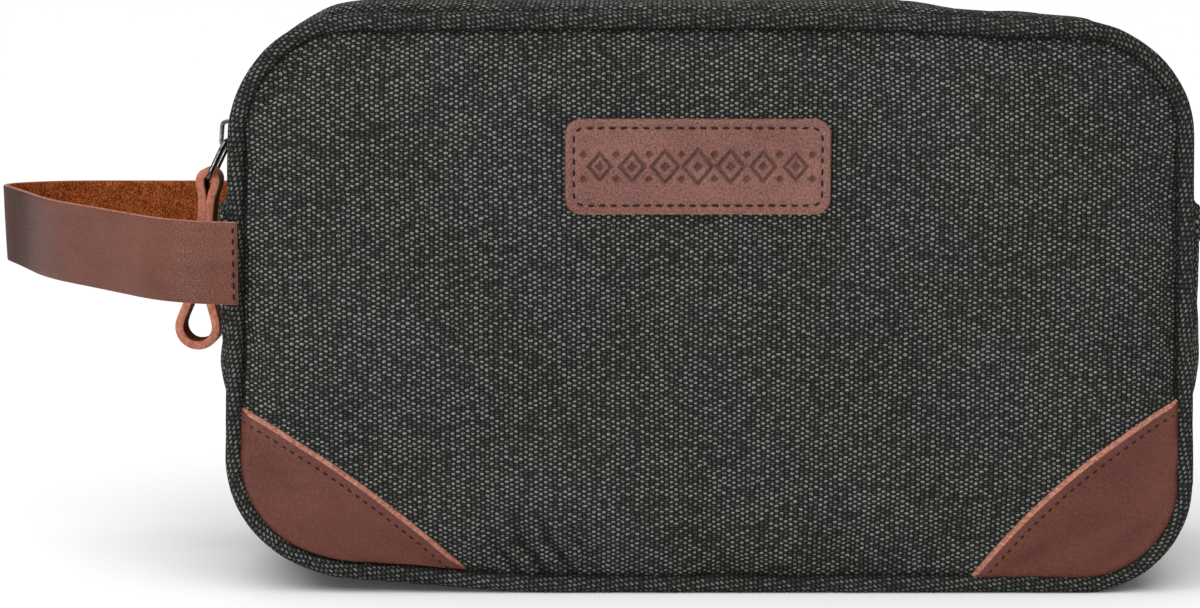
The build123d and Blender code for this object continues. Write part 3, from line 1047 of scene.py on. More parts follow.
def surface_of(piece):
    """A piece's faces, ready for finding where a ray meets them."""
    mesh = piece.data
    return BVHTree.FromPolygons([v.co for v in mesh.vertices], [p.vertices for p in mesh.polygons])


SURFACES = {name: surface_of(panel) for name, panel in panels.items()}


def depth_at(face, x, z):
    """Depth of a panel's outer surface behind the place (x, z), seen from its own side."""
    side = SIDES[face]
    hit, _, _, _ = SURFACES[face].ray_cast(Vector((x, side * 1.0, z)), Vector((0, -side, 0)))
    return hit.y if hit else side * SEAM_DEPTH


# ---------------------------------------------------------------- gusset, strips, hems

lower = piece_of([band[:, wrap]], "gusset_canvas", [CANVAS_CLOTH], "canvas", True)
thicken(lower, CANVAS, levels=1)
settle(lower, "bag", "lower_gusset")



def zip_half_columns(half):
    """Outline columns of one half of the zip, from its foot to the middle of the top."""
    return np.arange(RIGHT_HEM, TOP_MIDDLE + 1) if half == "right" else np.arange(TOP_MIDDLE, LEFT_HEM + 1)


def zip_settle(piece, kind, name, half):
    """Fix half of a line beside the zip where it is, and let it stand for its CAD nodes. The left
    halves stand for the middle stretch too."""
    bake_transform(piece)
    middle = [f"zip_{kind}_{name}_middle"] if half == "left" else []
    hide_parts(f"zip_{kind}_{name}_{half}", *middle)


for name, rows in (("front", band[: LAST + 1]), ("back", band[ROWS - LAST - 1 :][::-1])):
    flip = name == "front"
    outer_rows, inner_rows = rows[: HINGE_ROW + 1], rows[HINGE_ROW:]
    shoulder = piece_of([outer_rows[:, top_run]], f"zip_shoulder_{name}", [CANVAS_CLOTH], "canvas", flip)
    thicken(shoulder, CANVAS, levels=1)
    settle(shoulder, "bag")
    for half in ("right", "left"):
        cells = inner_rows[:, zip_half_columns(half)]
        piece = piece_of([cells], f"zip_strip_canvas_{name}_{half}", [CANVAS_CLOTH], "canvas", flip)
        zip_settle(thicken(piece, CANVAS, levels=1), "strip", name, half)

# ---------------------------------------------------------------- piping


def piping(name, side, seed):
    """The uneven roll of canvas round one face, flattened where it meets the floor."""
    line, outs = face_outline(PIPING)
    line, outs = (np.concatenate([a, a[:1]]) for a in (line, outs))
    run = run_length(line)
    fine = np.linspace(0, run[-1], 620, endpoint=False)
    line = np.stack([np.interp(fine, run, line[:, k]) for k in (0, 1)], axis=-1)
    outs = np.stack([np.interp(fine, run, outs[:, k]) for k in (0, 1)], axis=-1)
    angles = np.linspace(0, 2 * math.pi, 14, endpoint=False)
    rows, cloth = [], []
    for (x, z), (nx, nz), distance in zip(line, outs, fine):
        wander = 0.12 * MM * ripple(distance, seed, 21, 0.018)
        swell = 1 + 0.05 * ripple(distance, seed, 22, 0.011) + 0.03 * ripple(distance, seed, 23, 0.004)
        out = np.array([nx, 0, nz]) / math.hypot(nx, nz)
        centre = np.array([x, side * (FACE_FRONT - PIPING), z]) + out * wander
        radius = PIPING_SIZE * swell
        row = [centre + radius * (math.cos(a) * out + math.sin(a) * np.array([0, side, 0])) for a in angles]
        rows.append(row)
        shades = [np.clip(-1.5 * math.cos(a) - 0.45, 0, 1) * MM for a in angles]
        twist = distance * 0.35
        cloth.append([(distance + seed, a * radius + twist, shade) for a, shade in zip(angles, shades)])
    shape = Shape()
    index = shape.put(np.array(rows), np.array(cloth))
    index = np.concatenate([index, index[:1]])
    shape.quads(index, closed=True, flip=side > 0)
    piece = shape.build(f"{name}_piping_roll", [PIPING_SHADED_CANVAS], "piping_canvas")
    for vertex in piece.data.vertices:
        vertex.co.z = max(vertex.co.z, 0.0)
    settle(piece, "bag", f"{name}_piping")


for seed, name in enumerate(SIDES, 1):
    piping(name, SIDES[name], seed)

# ---------------------------------------------------------------- inside of the bag


def layer(name, face, inset_ring, offset, thickness, material, slot, node, waves=0.0):
    """A sheet that lies behind a panel, following its shape."""
    side = SIDES[face]
    rings, grid = NETS[face]
    piece = piece_of([rings[inset_ring:], grid], name, [material], slot, side > 0, (0,))
    for vertex in piece.data.vertices:
        x, y, z = vertex.co
        flatter = side * SEAM_DEPTH + (y - side * SEAM_DEPTH) * 0.9
        wave = waves * (ripple(x, z, 31, 0.04) + 0.5 * ripple(x, z, 32, 0.015))
        vertex.co.y = flatter - side * (offset + wave * MM)
    thicken(piece, thickness, levels=1)
    return settle(piece, "bag", node)


for face in SIDES:
    foam = layer(f"{face}_padding", face, 3, 1.5 * MM, 1.6 * MM, FOAM, "foam", f"{face}_foam")
    layer(f"{face}_lining_cloth", face, 2, 3.7 * MM, 0.5 * MM, LINING, "lining", f"{face}_lining", 0.25)


def gusset_lining():
    """The band of lining inside the gusset, with soft waves."""
    inset, depth = 3.4 * MM, 38.9 * MM
    _, outs = gusset_outline(inset)
    run = run_length(band_line(0, inset))
    rows, cloth = [], []
    for y in np.linspace(-depth, depth, 30):
        slack = np.array([0.35 * (ripple(d, y, 41, 0.03) + 1.0) * MM for d in run])
        slack *= 1 - (y / depth) ** 6
        place = band_line(y, inset) - outs * slack[:, None]
        rows.append(np.stack([place[:, 0], np.full(COUNT, y), place[:, 1]], axis=-1))
        cloth.append(np.stack([run, np.full(COUNT, y), np.zeros(COUNT)], axis=-1))
    shape = Shape()
    index = shape.put(np.array(rows), np.array(cloth))
    shape.quads(index[:, wrap], flip=True)
    piece = shape.kept().build("gusset_lining_cloth", [LINING], "lining")
    settle(thicken(piece, 0.5 * MM, levels=1), "bag", "gusset_lining")


gusset_lining()


def binding(name, side):
    """The bound seam allowance that runs round inside one face."""
    inset, depth = 5.0 * MM, 38.5 * MM
    _, outs = gusset_outline(inset)
    line = band_line(depth, inset)
    line, outs = (np.concatenate([a, a[:1]]) for a in (line, outs))
    run = run_length(line)
    shape = Shape()
    rows, cloth = [], []
    angles = np.linspace(0, 2 * math.pi, 12, endpoint=False)
    for (x, z), (nx, nz), distance in zip(line[:-1], outs[:-1], run[:-1]):
        lean = 0.25 * MM * ripple(distance, side, 51, 0.02)
        centre = np.array([x, side * depth, z])
        out = np.array([nx, 0, nz])
        ring = []
        for a in angles:
            wide = 1.0 * MM * squared(math.cos(a), 0.6)
            high = 0.8 * MM * squared(math.sin(a), 0.6)
            ring.append(centre + np.array([0, side, 0]) * wide + out * (high + lean))
        rows.append(ring)
        cloth.append([(distance, a * MM, 0) for a in angles])
    index = shape.put(np.array(rows), np.array(cloth))
    shape.quads(np.concatenate([index, index[:1]]), closed=True, flip=side < 0)
    piece = shape.build(f"{name}_binding_tape", [BINDING], "binding")
    settle(piece, "bag", f"seam_binding_{name}")


for name, side in SIDES.items():
    binding(name, side)


def slip_pocket():
    """Open pocket on the back lining: its mouth sags forward between its sewn ends."""
    half, low, high = 70 * MM, 10 * MM, 100 * MM
    xs, zs = np.linspace(-half, half, 61), np.linspace(low, high, 37)
    rows, cloth = [], []
    for z in zs:
        up = (z - low) / (high - low)
        row = []
        for x in xs:
            across = abs(x) / half
            sag = 3.2 * MM * up**2 * (1 - across**2.5) * (1 + 0.35 * ripple(x, z, 61, 0.04))
            back = depth_at("back", x, z) - 5.1 * MM
            hem = 0.45 * MM if high - z < 11 * MM else 0.0
            row.append((x, min(back, 43.0 * MM) - sag - hem, z - 1.5 * MM * up**4 * (1 - across**2)))
        rows.append(row)
        cloth.append([(x, z, 0) for x in xs])
    shape = Shape()
    shape.grid(rows, cloth)
    piece = thicken(shape.build("pocket_cloth", [LINING], "lining"), 0.5 * MM, levels=1)
    settle(piece, "bag", "slip_pocket")


slip_pocket()

# ---------------------------------------------------------------- turned hem at each end


def hem(name, side):
    """Folded top edge of the gusset's end: a second layer whose fold is rounded off."""
    stretch = np.arange(0, RIGHT_HEM + 8) if side > 0 else np.arange(LEFT_HEM - 8, LEFT_HEM + 26)
    heights = np.array([97.4, 97.5, 98.3, 99.5, 101, 102.5, 104, 105.4, 106.4, 107.0, 107.2]) * MM
    lifts = np.array([0.1, 0.3, 0.38, 0.4, 0.4, 0.4, 0.4, 0.4, 0.38, 0.3, 0.1]) * MM
    rows, cloth = [], []
    for height, lift in zip(heights, lifts):
        row = []
        for j in range(ROWS):
            places = points[band[j, stretch]]
            order = np.argsort(places[:, 2])
            x = np.interp(height, places[order, 2], places[order, 0])
            y = points[band[j, stretch[0]], 1]
            round_off = np.clip((41.2 * MM - abs(y)) / (3.5 * MM), 0, 1) ** 0.5
            low_end = height - (1 - round_off) * 4 * MM * (height - heights[0]) / (heights[-1] - heights[0])
            swell = 0.12 * MM * ripple(y, height, 71 + side, 0.012)
            row.append((x + side * (lift + swell) * (0.25 + 0.75 * round_off), y, low_end))
        rows.append(row)
        cloth.append([(v[2], v[1], 0) for v in row])
    shape = Shape()
    shape.grid(rows, cloth, flip=side < 0)
    piece = thicken(shape.build(name, [CANVAS_CLOTH], "canvas"), 0.9 * MM, levels=1)
    settle(piece, "bag")
    line = [place for place in rows[3] if abs(place[1]) < 38 * MM]
    sew(f"{name}_stitches", BLACK_THREAD, "canvas", [(line, (side, 0, 0))], 3.2 * MM, 2.3 * MM, 0.33 * MM)


hem("gusset_hem_right", 1)
hem("gusset_hem_left", -1)

# ---------------------------------------------------------------- zip

TAPE_INSET = 1.5 * MM
TAPE_EDGE = 3.0 * MM
TAPE_TUCK = 16.0 * MM
TAPE_FOLD = 4.4 * MM
HALF_PITCH = 1.2 * MM
TOOTH_INSET = 1.9 * MM

for name, side in SIDES.items():
    for half in ("right", "left"):
        outer, outs = gusset_outline(TAPE_INSET)
        run = run_length(outer)
        columns = zip_half_columns(half)
        depths = np.linspace(TAPE_EDGE, TAPE_TUCK, 11)
        rows, cloth = [], []
        for depth in depths:
            rise = 0.35 * MM if depth < TAPE_FOLD else 0.0
            place = outer[columns] + outs[columns] * rise
            rows.append(np.stack([place[:, 0], np.full(len(columns), side * depth), place[:, 1]], axis=-1))
            even = np.full(len(columns), depth)
            cloth.append(np.stack([run[columns], even, np.zeros(len(columns))], axis=-1))
        shape = Shape()
        shape.grid(rows, cloth, flip=side > 0)
        tape = thicken(shape.build(f"tape_{name}_{half}", [TAPE], "zip_tape"), 0.8 * MM, levels=1)
        zip_settle(tape, "tape", name, half)

ARC_RADIUS = TOP_CORNER - TOOTH_INSET
TOP_STRAIGHT = GUSSET_HALF - TOP_CORNER
CORNER_RUN = ARC_RADIUS * math.pi / 2


def zip_place(distance):
    """Point (x, z), direction and outward direction on the zip's line, by distance from the
    middle of the top; positive to the right."""
    side = 1 if distance > 0 else -1
    run = abs(distance)
    turn = min(max((run - TOP_STRAIGHT) / ARC_RADIUS, 0), math.pi / 2)
    out = np.array([side * math.sin(turn), 0, math.cos(turn)])
    along = np.array([math.cos(turn), 0, -side * math.sin(turn)])
    flat = min(run, TOP_STRAIGHT)
    down = max(run - TOP_STRAIGHT - CORNER_RUN, 0)
    centre = np.array([side * flat, 0, GUSSET_HIGH - TOP_CORNER - down])
    return sag(centre + out * ARC_RADIUS), along, out


TOOTH_WIDE = 1.08 * MM
TOOTH_TALL = 1.25 * MM
# Sections of a tooth from root to nose: share of its length, half width and half height.
TOOTH_ROWS = (
    (-0.5, 0.50, 0.50),
    (-0.34, 0.50, 0.95),
    (-0.1, 0.46, 1.0),
    (0.12, 0.40, 0.96),
    (0.30, 0.46, 0.90),
    (0.42, 0.52, 0.80),
    (0.5, 0.40, 0.55),
)


def tooth(shape, distance, side):
    """One moulded tooth: a root that clasps the tape, a waist and a rounded head."""
    place, along, out = zip_place(distance)
    root, nose = 2.9 * MM, -1.1 * MM
    start = len(shape.points)
    for share, half, tall in TOOTH_ROWS:
        depth = side * (root + (nose - root) * (share + 0.5))
        for n in range(TUBE_SIDES):
            angle = 2 * math.pi * (n + 0.5) / TUBE_SIDES
            across = squared(math.cos(angle), 0.5) * half * TOOTH_WIDE
            high = squared(math.sin(angle), 0.5) * tall * TOOTH_TALL
            shape.points.append((place + along * across + out * high + np.array([0, depth, 0])).tolist())
            shape.cloth.append((distance + across, depth, high))
    rings = np.arange(start, len(shape.points)).reshape(-1, TUBE_SIDES)
    shape.quads(rings, closed=True, flip=side > 0)
    for end in (rings[0], rings[-1][::-1]):
        shape.faces.append(tuple((end if side > 0 else end[::-1]).tolist()))
        shape.kinds.append(0)


LAST_TOOTH = int((TOP_STRAIGHT + CORNER_RUN + GUSSET_HIGH - TOP_CORNER - ZIP_END - 1.05 * MM) / HALF_PITCH)
for name, side, parity in (("front", -1, 0), ("back", 1, 1)):
    for half, numbers in (("left", range(-LAST_TOOTH, 0)), ("right", range(0, LAST_TOOTH + 1))):
        shape = Shape()
        for n in numbers:
            if n % 2 == parity:
                tooth(shape, n * HALF_PITCH, side)
        zip_settle(shape.build(f"teeth_{name}_{half}", [TEETH_METAL], "zip_teeth"), "teeth", name, half)

# ---------------------------------------------------------------- CAD parts that stay


def dress(node, material, bevel=0.0):
    """Give a CAD part its material and soften its edges."""
    part = frame["nodes"][node]
    part.data.materials.clear()
    part.data.materials.append(material)
    part.data.polygons.foreach_set("use_smooth", [True] * len(part.data.polygons))
    part.data.polygons.foreach_set("material_index", [0] * len(part.data.polygons))
    weld = part.modifiers.new("weld", "WELD")
    weld.merge_threshold = 0.01 * MM
    if bevel:
        edge = part.modifiers.new("edge", "BEVEL")
        edge.width = bevel
        edge.segments = 3
        edge.limit_method = "ANGLE"
        edge.angle_limit = math.radians(35)


dress("zip_slider", GUNMETAL, 0.3 * MM)
dress("zip_slider_under_plate", GUNMETAL, 0.3 * MM)
dress("pull_ring", GUNMETAL)
dress("base_board", BOARD, 0.4 * MM)

# ---------------------------------------------------------------- leather strips


def smooth_path(corners, radii, step):
    """Evenly spaced points along straight lines whose corners are rounded by arcs."""
    corners = [np.array(c, float) for c in corners]
    places = [corners[0]]
    for before, corner, after, radius in zip(corners, corners[1:], corners[2:], radii):
        into, out = corner - before, after - corner
        into, out = into / np.linalg.norm(into), out / np.linalg.norm(out)
        turn = math.acos(np.clip(into @ out, -1, 1))
        reach = radius * math.tan(turn / 2)
        bend = out - into * (into @ out)
        bend /= np.linalg.norm(bend)
        centre = corner - into * reach + bend * radius
        for share in np.linspace(0, 1, 25):
            angle = turn * share
            places.append(centre + radius * (into * math.sin(angle) - bend * math.cos(angle)))
    places.append(corners[-1])
    return resample(np.array(places), step)


def resample(places, step, closed=False):
    """Points at equal steps along a line, rounded off a little."""
    if closed:
        places = np.concatenate([places, places[:1]])
    run = run_length(places)
    count = max(2, int(round(run[-1] / step)))
    fine = np.linspace(0, run[-1], count + 1)[: -1 if closed else None]
    return np.stack([np.interp(fine, run, places[:, k]) for k in range(places.shape[1])], axis=-1)


def relax(places, times, closed=False):
    """Even out a line's small corners."""
    for _ in range(times):
        before, after = np.roll(places, 1, axis=0), np.roll(places, -1, axis=0)
        moved = (before + 2 * places + after) / 4
        if not closed:
            moved[0], moved[-1] = places[0], places[-1]
        places = moved
    return places


def section(width, thick, columns):
    """Cross-section of a leather strip: outer face, rounded edge, inner face, rounded edge.
    Returns (across, out) pairs and the kind of face that follows each: grain, edge or flesh."""
    half, deep = width / 2, thick / 2
    round_off, shoulder = 0.42 * MM, 0.12 * MM
    spread = np.linspace(-half + round_off, half - round_off, columns)
    pairs = [(a, deep) for a in spread]
    kinds = [0] * (columns - 1)
    edge = [
        (half - shoulder, deep - shoulder),
        (half, deep - round_off),
        (half, 0),
        (half, round_off - deep),
        (half - shoulder, shoulder - deep),
    ]
    pairs += edge
    kinds += [0] + [2] * 4 + [1]
    pairs += [(a, -deep) for a in spread[::-1]]
    kinds += [1] * (columns - 1)
    pairs += [(-a, b) for a, b in edge[::-1]]
    kinds += [1] + [2] * 4 + [0]
    return pairs, kinds


def strip(name, line, size, columns, materials, slot, swell, seed, closed=False):
    """A leather strip along a line, which gives its centres, the directions out of its grain face
    and the directions along its width. size is its width and thickness."""
    centres, outs, sides = line
    pairs, kinds = section(*size, columns)
    run = run_length(centres)
    rows, cloth = [], []
    for centre, out, side, distance in zip(centres, outs, sides, run):
        row, coat = [], []
        for across, deep in pairs:
            wave = swell * ripple(distance, across, seed, 0.02)
            wave += swell * 0.5 * ripple(distance, across, seed + 1, 0.007)
            rough = 0.0 if deep > 0 else 0.05 * MM * ripple(distance, across, seed + 2, 0.0015)
            row.append(centre + side * across + out * (deep + wave + rough))
            coat.append((distance, across, deep))
        rows.append(row)
        cloth.append(coat)
    shape = Shape()
    index = shape.put(np.array(rows), np.array(cloth))
    if closed:
        index = np.concatenate([index, index[:1]])
    for column, kind in enumerate(kinds):
        pair = index[:, [column, (column + 1) % len(pairs)]]
        shape.quads(pair, kind)
    if not closed:
        for end, flip in ((index[0], False), (index[-1], True)):
            middle = np.mean([shape.points[i] for i in end], axis=0)
            centre = shape.put(middle[None], [shape.cloth[end[0]]])[0]
            for a, b in zip(end, np.roll(end, -1)):
                shape.faces.append((int(centre), int(a), int(b)) if flip else (int(centre), int(b), int(a)))
                shape.kinds.append(2)
    return shape.build(name, materials, slot)


STRAP_SIZE = (22.6 * MM, 1.9 * MM)
STRAP_FACE = 45.7 * MM
STRAP_FRONT_MIDDLE = (strap_low.z + strap_high.z) / 2 - 1.5 * MM
STRAP_CLIMB = 4.0 * MM
# The strap's line seen from above, in mm: straight runs whose corners are rounded by radii.
strap_path = [
    (-128.6, -STRAP_FACE / MM),
    (-147, -STRAP_FACE / MM),
    (-188, -9),
    (-211.4, 36),
    (-192.5, 46.5),
    (-127.6, STRAP_FACE / MM),
]
strap_radii = (30, 60, 9, 30)
strap_line = smooth_path(np.array(strap_path) * MM, np.array(strap_radii) * MM, 1.2 * MM)
strap_line = relax(strap_line, 6)
strap_run = run_length(strap_line)
ahead = np.gradient(strap_line, axis=0)
ahead /= np.linalg.norm(ahead, axis=1, keepdims=True)
strap_centres, strap_outs, strap_sides = [], [], []
tip_run = strap_run[np.argmin(strap_line[:, 0])]
for (x, y), (ax, ay), distance in zip(strap_line, ahead, strap_run):
    reach = min(max(distance / tip_run, 0), 1)
    lift = STRAP_CLIMB * math.sin(reach * math.pi / 2) ** 1.3
    lean = 0.04 * reach * math.sin(distance / strap_run[-1] * math.pi * 2 + 0.4)
    out = Vector((-ay, ax, lean)).normalized()
    side = Vector((ax, ay, 0)).normalized().cross(out)
    strap_centres.append((x, y, STRAP_FRONT_MIDDLE + lift))
    strap_outs.append(tuple(out))
    strap_sides.append(tuple(-side))
strap = strip(
    "strap_leather_loop",
    [np.array(a) for a in (strap_centres, strap_outs, strap_sides)],
    STRAP_SIZE,
    15,
    [STRAP_LEATHER, FLESH, CUT_EDGE],
    "strap_leather",
    swell=0.12 * MM,
    seed=81,
)
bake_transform(strap)
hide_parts("wrist_strap")

strap_seams = []
for side, start, lift in ((-1, -129.6, 0.0), (1, -129.1, STRAP_CLIMB)):
    column = [
        (start * MM, side * (STRAP_FACE + STRAP_SIZE[1] / 2), STRAP_FRONT_MIDDLE + lift + z * MM)
        for z in np.linspace(-10.6, 10.6, 12)
    ]
    strap_seams.append((column, (0, side, 0)))
sew("strap_stitches", THREAD, "strap_leather", strap_seams, 2.9 * MM, 2.4 * MM, 0.31 * MM)

# ---------------------------------------------------------------- zip pull

PULL_SIZE = (9.6 * MM, 2.5 * MM)
PULL_TURN = math.radians(5)
pivots = {joint["name"]: joint["pos_m"] for joint in frame["joints"]}
PULL_PIVOT = np.array(pivots["pull_swing"])
PULL_DOWN = np.array([-math.sin(PULL_TURN), 0, -math.cos(PULL_TURN)])
PULL_OUT = np.array([-math.cos(PULL_TURN), 0, math.sin(PULL_TURN)])
# The thong's line in mm, as (out, down) from its ring: round the ring, down one limb, round the
# loop at its end and up the other limb.
eye = [(2.4 * math.cos(a), -2.4 * math.sin(a) + 0.3) for a in np.linspace(0, math.pi, 13)]
loop = [(-5.4 * math.cos(a), 43 + 5.4 * math.sin(a)) for a in np.linspace(-0.35, math.pi + 0.35, 25)]
limb = [(-2.1, 2.3), (-1.3, 4.4), (-1.08, 7), (-1.05, 14), (-1.05, 20), (-1.1, 25), (-1.4, 29), (-2.6, 34)]
corners = eye + limb + loop + [(-u, v) for u, v in limb[::-1]]
pull_line = relax(resample(np.array(corners) * MM, 0.7 * MM, True), 5, True)
ahead = np.roll(pull_line, -1, axis=0) - np.roll(pull_line, 1, axis=0)
ahead /= np.linalg.norm(ahead, axis=1, keepdims=True)
pull_centres = np.array([PULL_PIVOT + PULL_OUT * u + PULL_DOWN * v for u, v in pull_line])
pull_outs = np.array([PULL_OUT * -av + PULL_DOWN * au for au, av in ahead])
middle = PULL_PIVOT + PULL_DOWN * 20 * MM
if sum((c - middle) @ o for c, o in zip(pull_centres, pull_outs)) < 0:
    pull_outs = -pull_outs
pull_sides = np.tile((0.0, 1.0, 0.0), (len(pull_centres), 1))
if np.cross(pull_outs[0], pull_sides[0]) @ (pull_centres[1] - pull_centres[0]) <= 0:
    pull_sides = -pull_sides
pull = strip(
    "pull_leather_thong",
    (pull_centres, pull_outs, pull_sides),
    PULL_SIZE,
    9,
    [PULL_LEATHER, PULL_FLESH, PULL_EDGE],
    "pull_leather",
    swell=0.06 * MM,
    seed=91,
    closed=True,
)
settle(pull, "pull", "leather_pull")

# ---------------------------------------------------------------- leather corners


def quadratic(a, b, bulge, count):
    """Curve from a to b whose middle stands out by bulge to the left of a-b."""
    a, b = np.array(a), np.array(b)
    along = b - a
    out = np.array([-along[1], along[0]]) / np.linalg.norm(along)
    control = (a + b) / 2 + out * 2 * bulge
    t = np.linspace(0, 1, count)[:, None]
    return (1 - t) ** 2 * a + 2 * t * (1 - t) * control + t**2 * b


# Each leather corner's inner edge in mm: its ends (x, z) and how far its middle stands out.
CORNER_CURVES = {
    "left": ((-129.4, 52.6), (-67.3, 6.8), 3.0),
    "right": ((130.7, 55.6), (71.5, 2.9), -4.9),
}
# The corner's bevelled inner edge in mm: distance from the edge and height over the canvas.
EDGE_PROFILE = ((0.0, -0.5), (0.02, 0.3), (0.25, 0.75), (0.7, 1.05), (1.2, 1.22))
LEATHER = 1.25


def corner_patch(face, half):
    """Leather corner sewn over one lower corner of a face."""
    side = SIDES[face]
    start, end, bulge = CORNER_CURVES[half]
    curve = quadratic(np.array(start) * MM, np.array(end) * MM, bulge * MM, 60)
    outline, outs = face_outline(3.3 * MM)
    if half == "left":
        outline = outline - outs * (1.9 * MM * np.clip(-outs[:, 1:], 0, 1) ** 2)
        first, last = stretch_start("left_low"), stretch_start("base") + 30
    else:
        first, last = stretch_start("base") + 36, COUNT + 24
    ring = np.concatenate([outline, outline])[first:last]
    ring = ring if half == "left" else ring[::-1]
    begin = np.argmin(np.linalg.norm(ring - curve[0], axis=1))
    stop = np.argmin(np.linalg.norm(ring - curve[-1], axis=1))
    ring = ring[begin : stop + 1]
    run = run_length(ring)
    share = np.linspace(0, run[-1], 60)
    far = np.stack([np.interp(share, run, ring[:, k]) for k in (0, 1)], axis=-1)
    inward = far - curve
    reach = np.maximum(np.linalg.norm(inward, axis=1, keepdims=True), 1e-6)
    along = np.gradient(curve, axis=0)
    normal = np.stack([-along[:, 1], along[:, 0]], axis=-1)
    normal /= np.linalg.norm(normal, axis=1, keepdims=True)
    normal *= np.sign(np.sum(normal * inward, axis=1, keepdims=True).sum())
    shape = Shape()
    columns, heights = [], []
    for offset, height in EDGE_PROFILE:
        columns.append(curve + normal * np.minimum(offset * MM, reach * 0.3))
        heights.append(height)
    base = columns[-1]
    for s in np.linspace(0, 1, 26)[1:]:
        columns.append(base + (far - base) * s)
        heights.append(LEATHER + 0.12 * math.sin(s * math.pi))
    rows, cloth = [], []
    for column, height in zip(columns, heights):
        row = []
        for x, z in column:
            depth = depth_at(face, x, z)
            lift = (height + 0.06 * ripple(x, z, 95, 0.012)) * MM
            row.append((x, depth + side * lift, z))
        rows.append(row)
        cloth.append([(x, z, 0.01) for x, z in column])
    index = shape.put(np.array(rows), np.array(cloth))
    flip = (side < 0) == (half == "left")
    shape.quads(index[: len(EDGE_PROFILE)], 1, flip=flip)
    shape.quads(index[len(EDGE_PROFILE) - 1 :], 0, flip=flip)
    under = shape.put(np.array(rows)[[0, -1]] - np.array([0, side * 0.8 * MM, 0]), np.array(cloth)[[0, -1]])
    shape.quads(np.array([index[-1], under[1]]), 1, flip=flip)
    shape.quads(under[::-1], 1, flip=flip)
    shape.quads(np.array([under[0], index[0]]), 1, flip=flip)
    piece = shape.build(f"corner_leather_{face}_{half}", [TRIM_LEATHER, CUT_EDGE], "trim_leather")
    settle(piece, "bag", f"leather_corner_{face}_{half}")
    seam = curve[2:-2] + normal[2:-2] * 3.3 * MM
    line = [(x, depth_at(face, x, z) + side * LEATHER * MM, z) for x, z in seam]
    name = f"corner_stitches_{face}_{half}"
    sew(name, THREAD, "trim_leather", [(line, (0, side, 0))], 2.6 * MM, 2.0 * MM, 0.25 * MM)


for face in SIDES:
    for half in ("left", "right"):
        corner_patch(face, half)

# ---------------------------------------------------------------- label

LABEL_CENTRE = ((label_low.x + label_high.x) / 2, (label_low.z + label_high.z) / 2)
LABEL_SIZE = (label_high.x - label_low.x, label_high.z - label_low.z)
LABEL_RADIUS = 4.4 * MM
LABEL_GRID = (230, 88)
SEAM_INSET = 2.4
ORNAMENT_PITCH = 8.8


def label_depth():
    """The front's depth under the label, as a smooth second-degree surface."""
    xs = LABEL_CENTRE[0] + np.linspace(-0.5, 0.5, 13) * LABEL_SIZE[0]
    zs = LABEL_CENTRE[1] + np.linspace(-0.5, 0.5, 7) * LABEL_SIZE[1]
    places = np.array([(x, z) for x in xs for z in zs])
    depths = np.array([depth_at("front", x, z) for x, z in places])
    u, v = (places - np.array(LABEL_CENTRE)).T
    terms = np.stack([np.ones_like(u), u, v, u * u, u * v, v * v], axis=-1)
    fit, *_ = np.linalg.lstsq(terms, depths, rcond=None)
    return lambda x, z: float(np.array([1, x, z, x * x, x * z, z * z]) @ fit)


label_back = label_depth()


def rounded_gap(u, v, half_u, half_v, radius):
    """Signed distance to a rounded rectangle's edge, negative inside."""
    du, dv = abs(u) - half_u + radius, abs(v) - half_v + radius
    return math.hypot(max(du, 0), max(dv, 0)) + min(max(du, dv), 0) - radius


def lozenge(u, v, u0, half_u, half_v):
    """Signed distance, roughly, to a lozenge's edge."""
    return (abs(u - u0) / half_u + abs(v) / half_v - 1) * half_v * half_u / math.hypot(half_u, half_v)


def ornament(u, v):
    """Distance in mm to the pressed ornament: a row of lozenges, with small ones between them."""
    gap = 9.0
    for n in range(-3, 4):
        size = 4.6 - 0.35 * abs(n)
        ring = abs(lozenge(u, v, n * ORNAMENT_PITCH, size * 0.86, size)) - 0.42
        gap = min(gap, ring, lozenge(u, v, n * ORNAMENT_PITCH, 1.25, 1.45))
    for n in range(-4, 4):
        for tip in (-3.3, 3.3):
            gap = min(gap, lozenge(u, v - tip, (n + 0.5) * ORNAMENT_PITCH, 1.1, 1.1))
    return gap


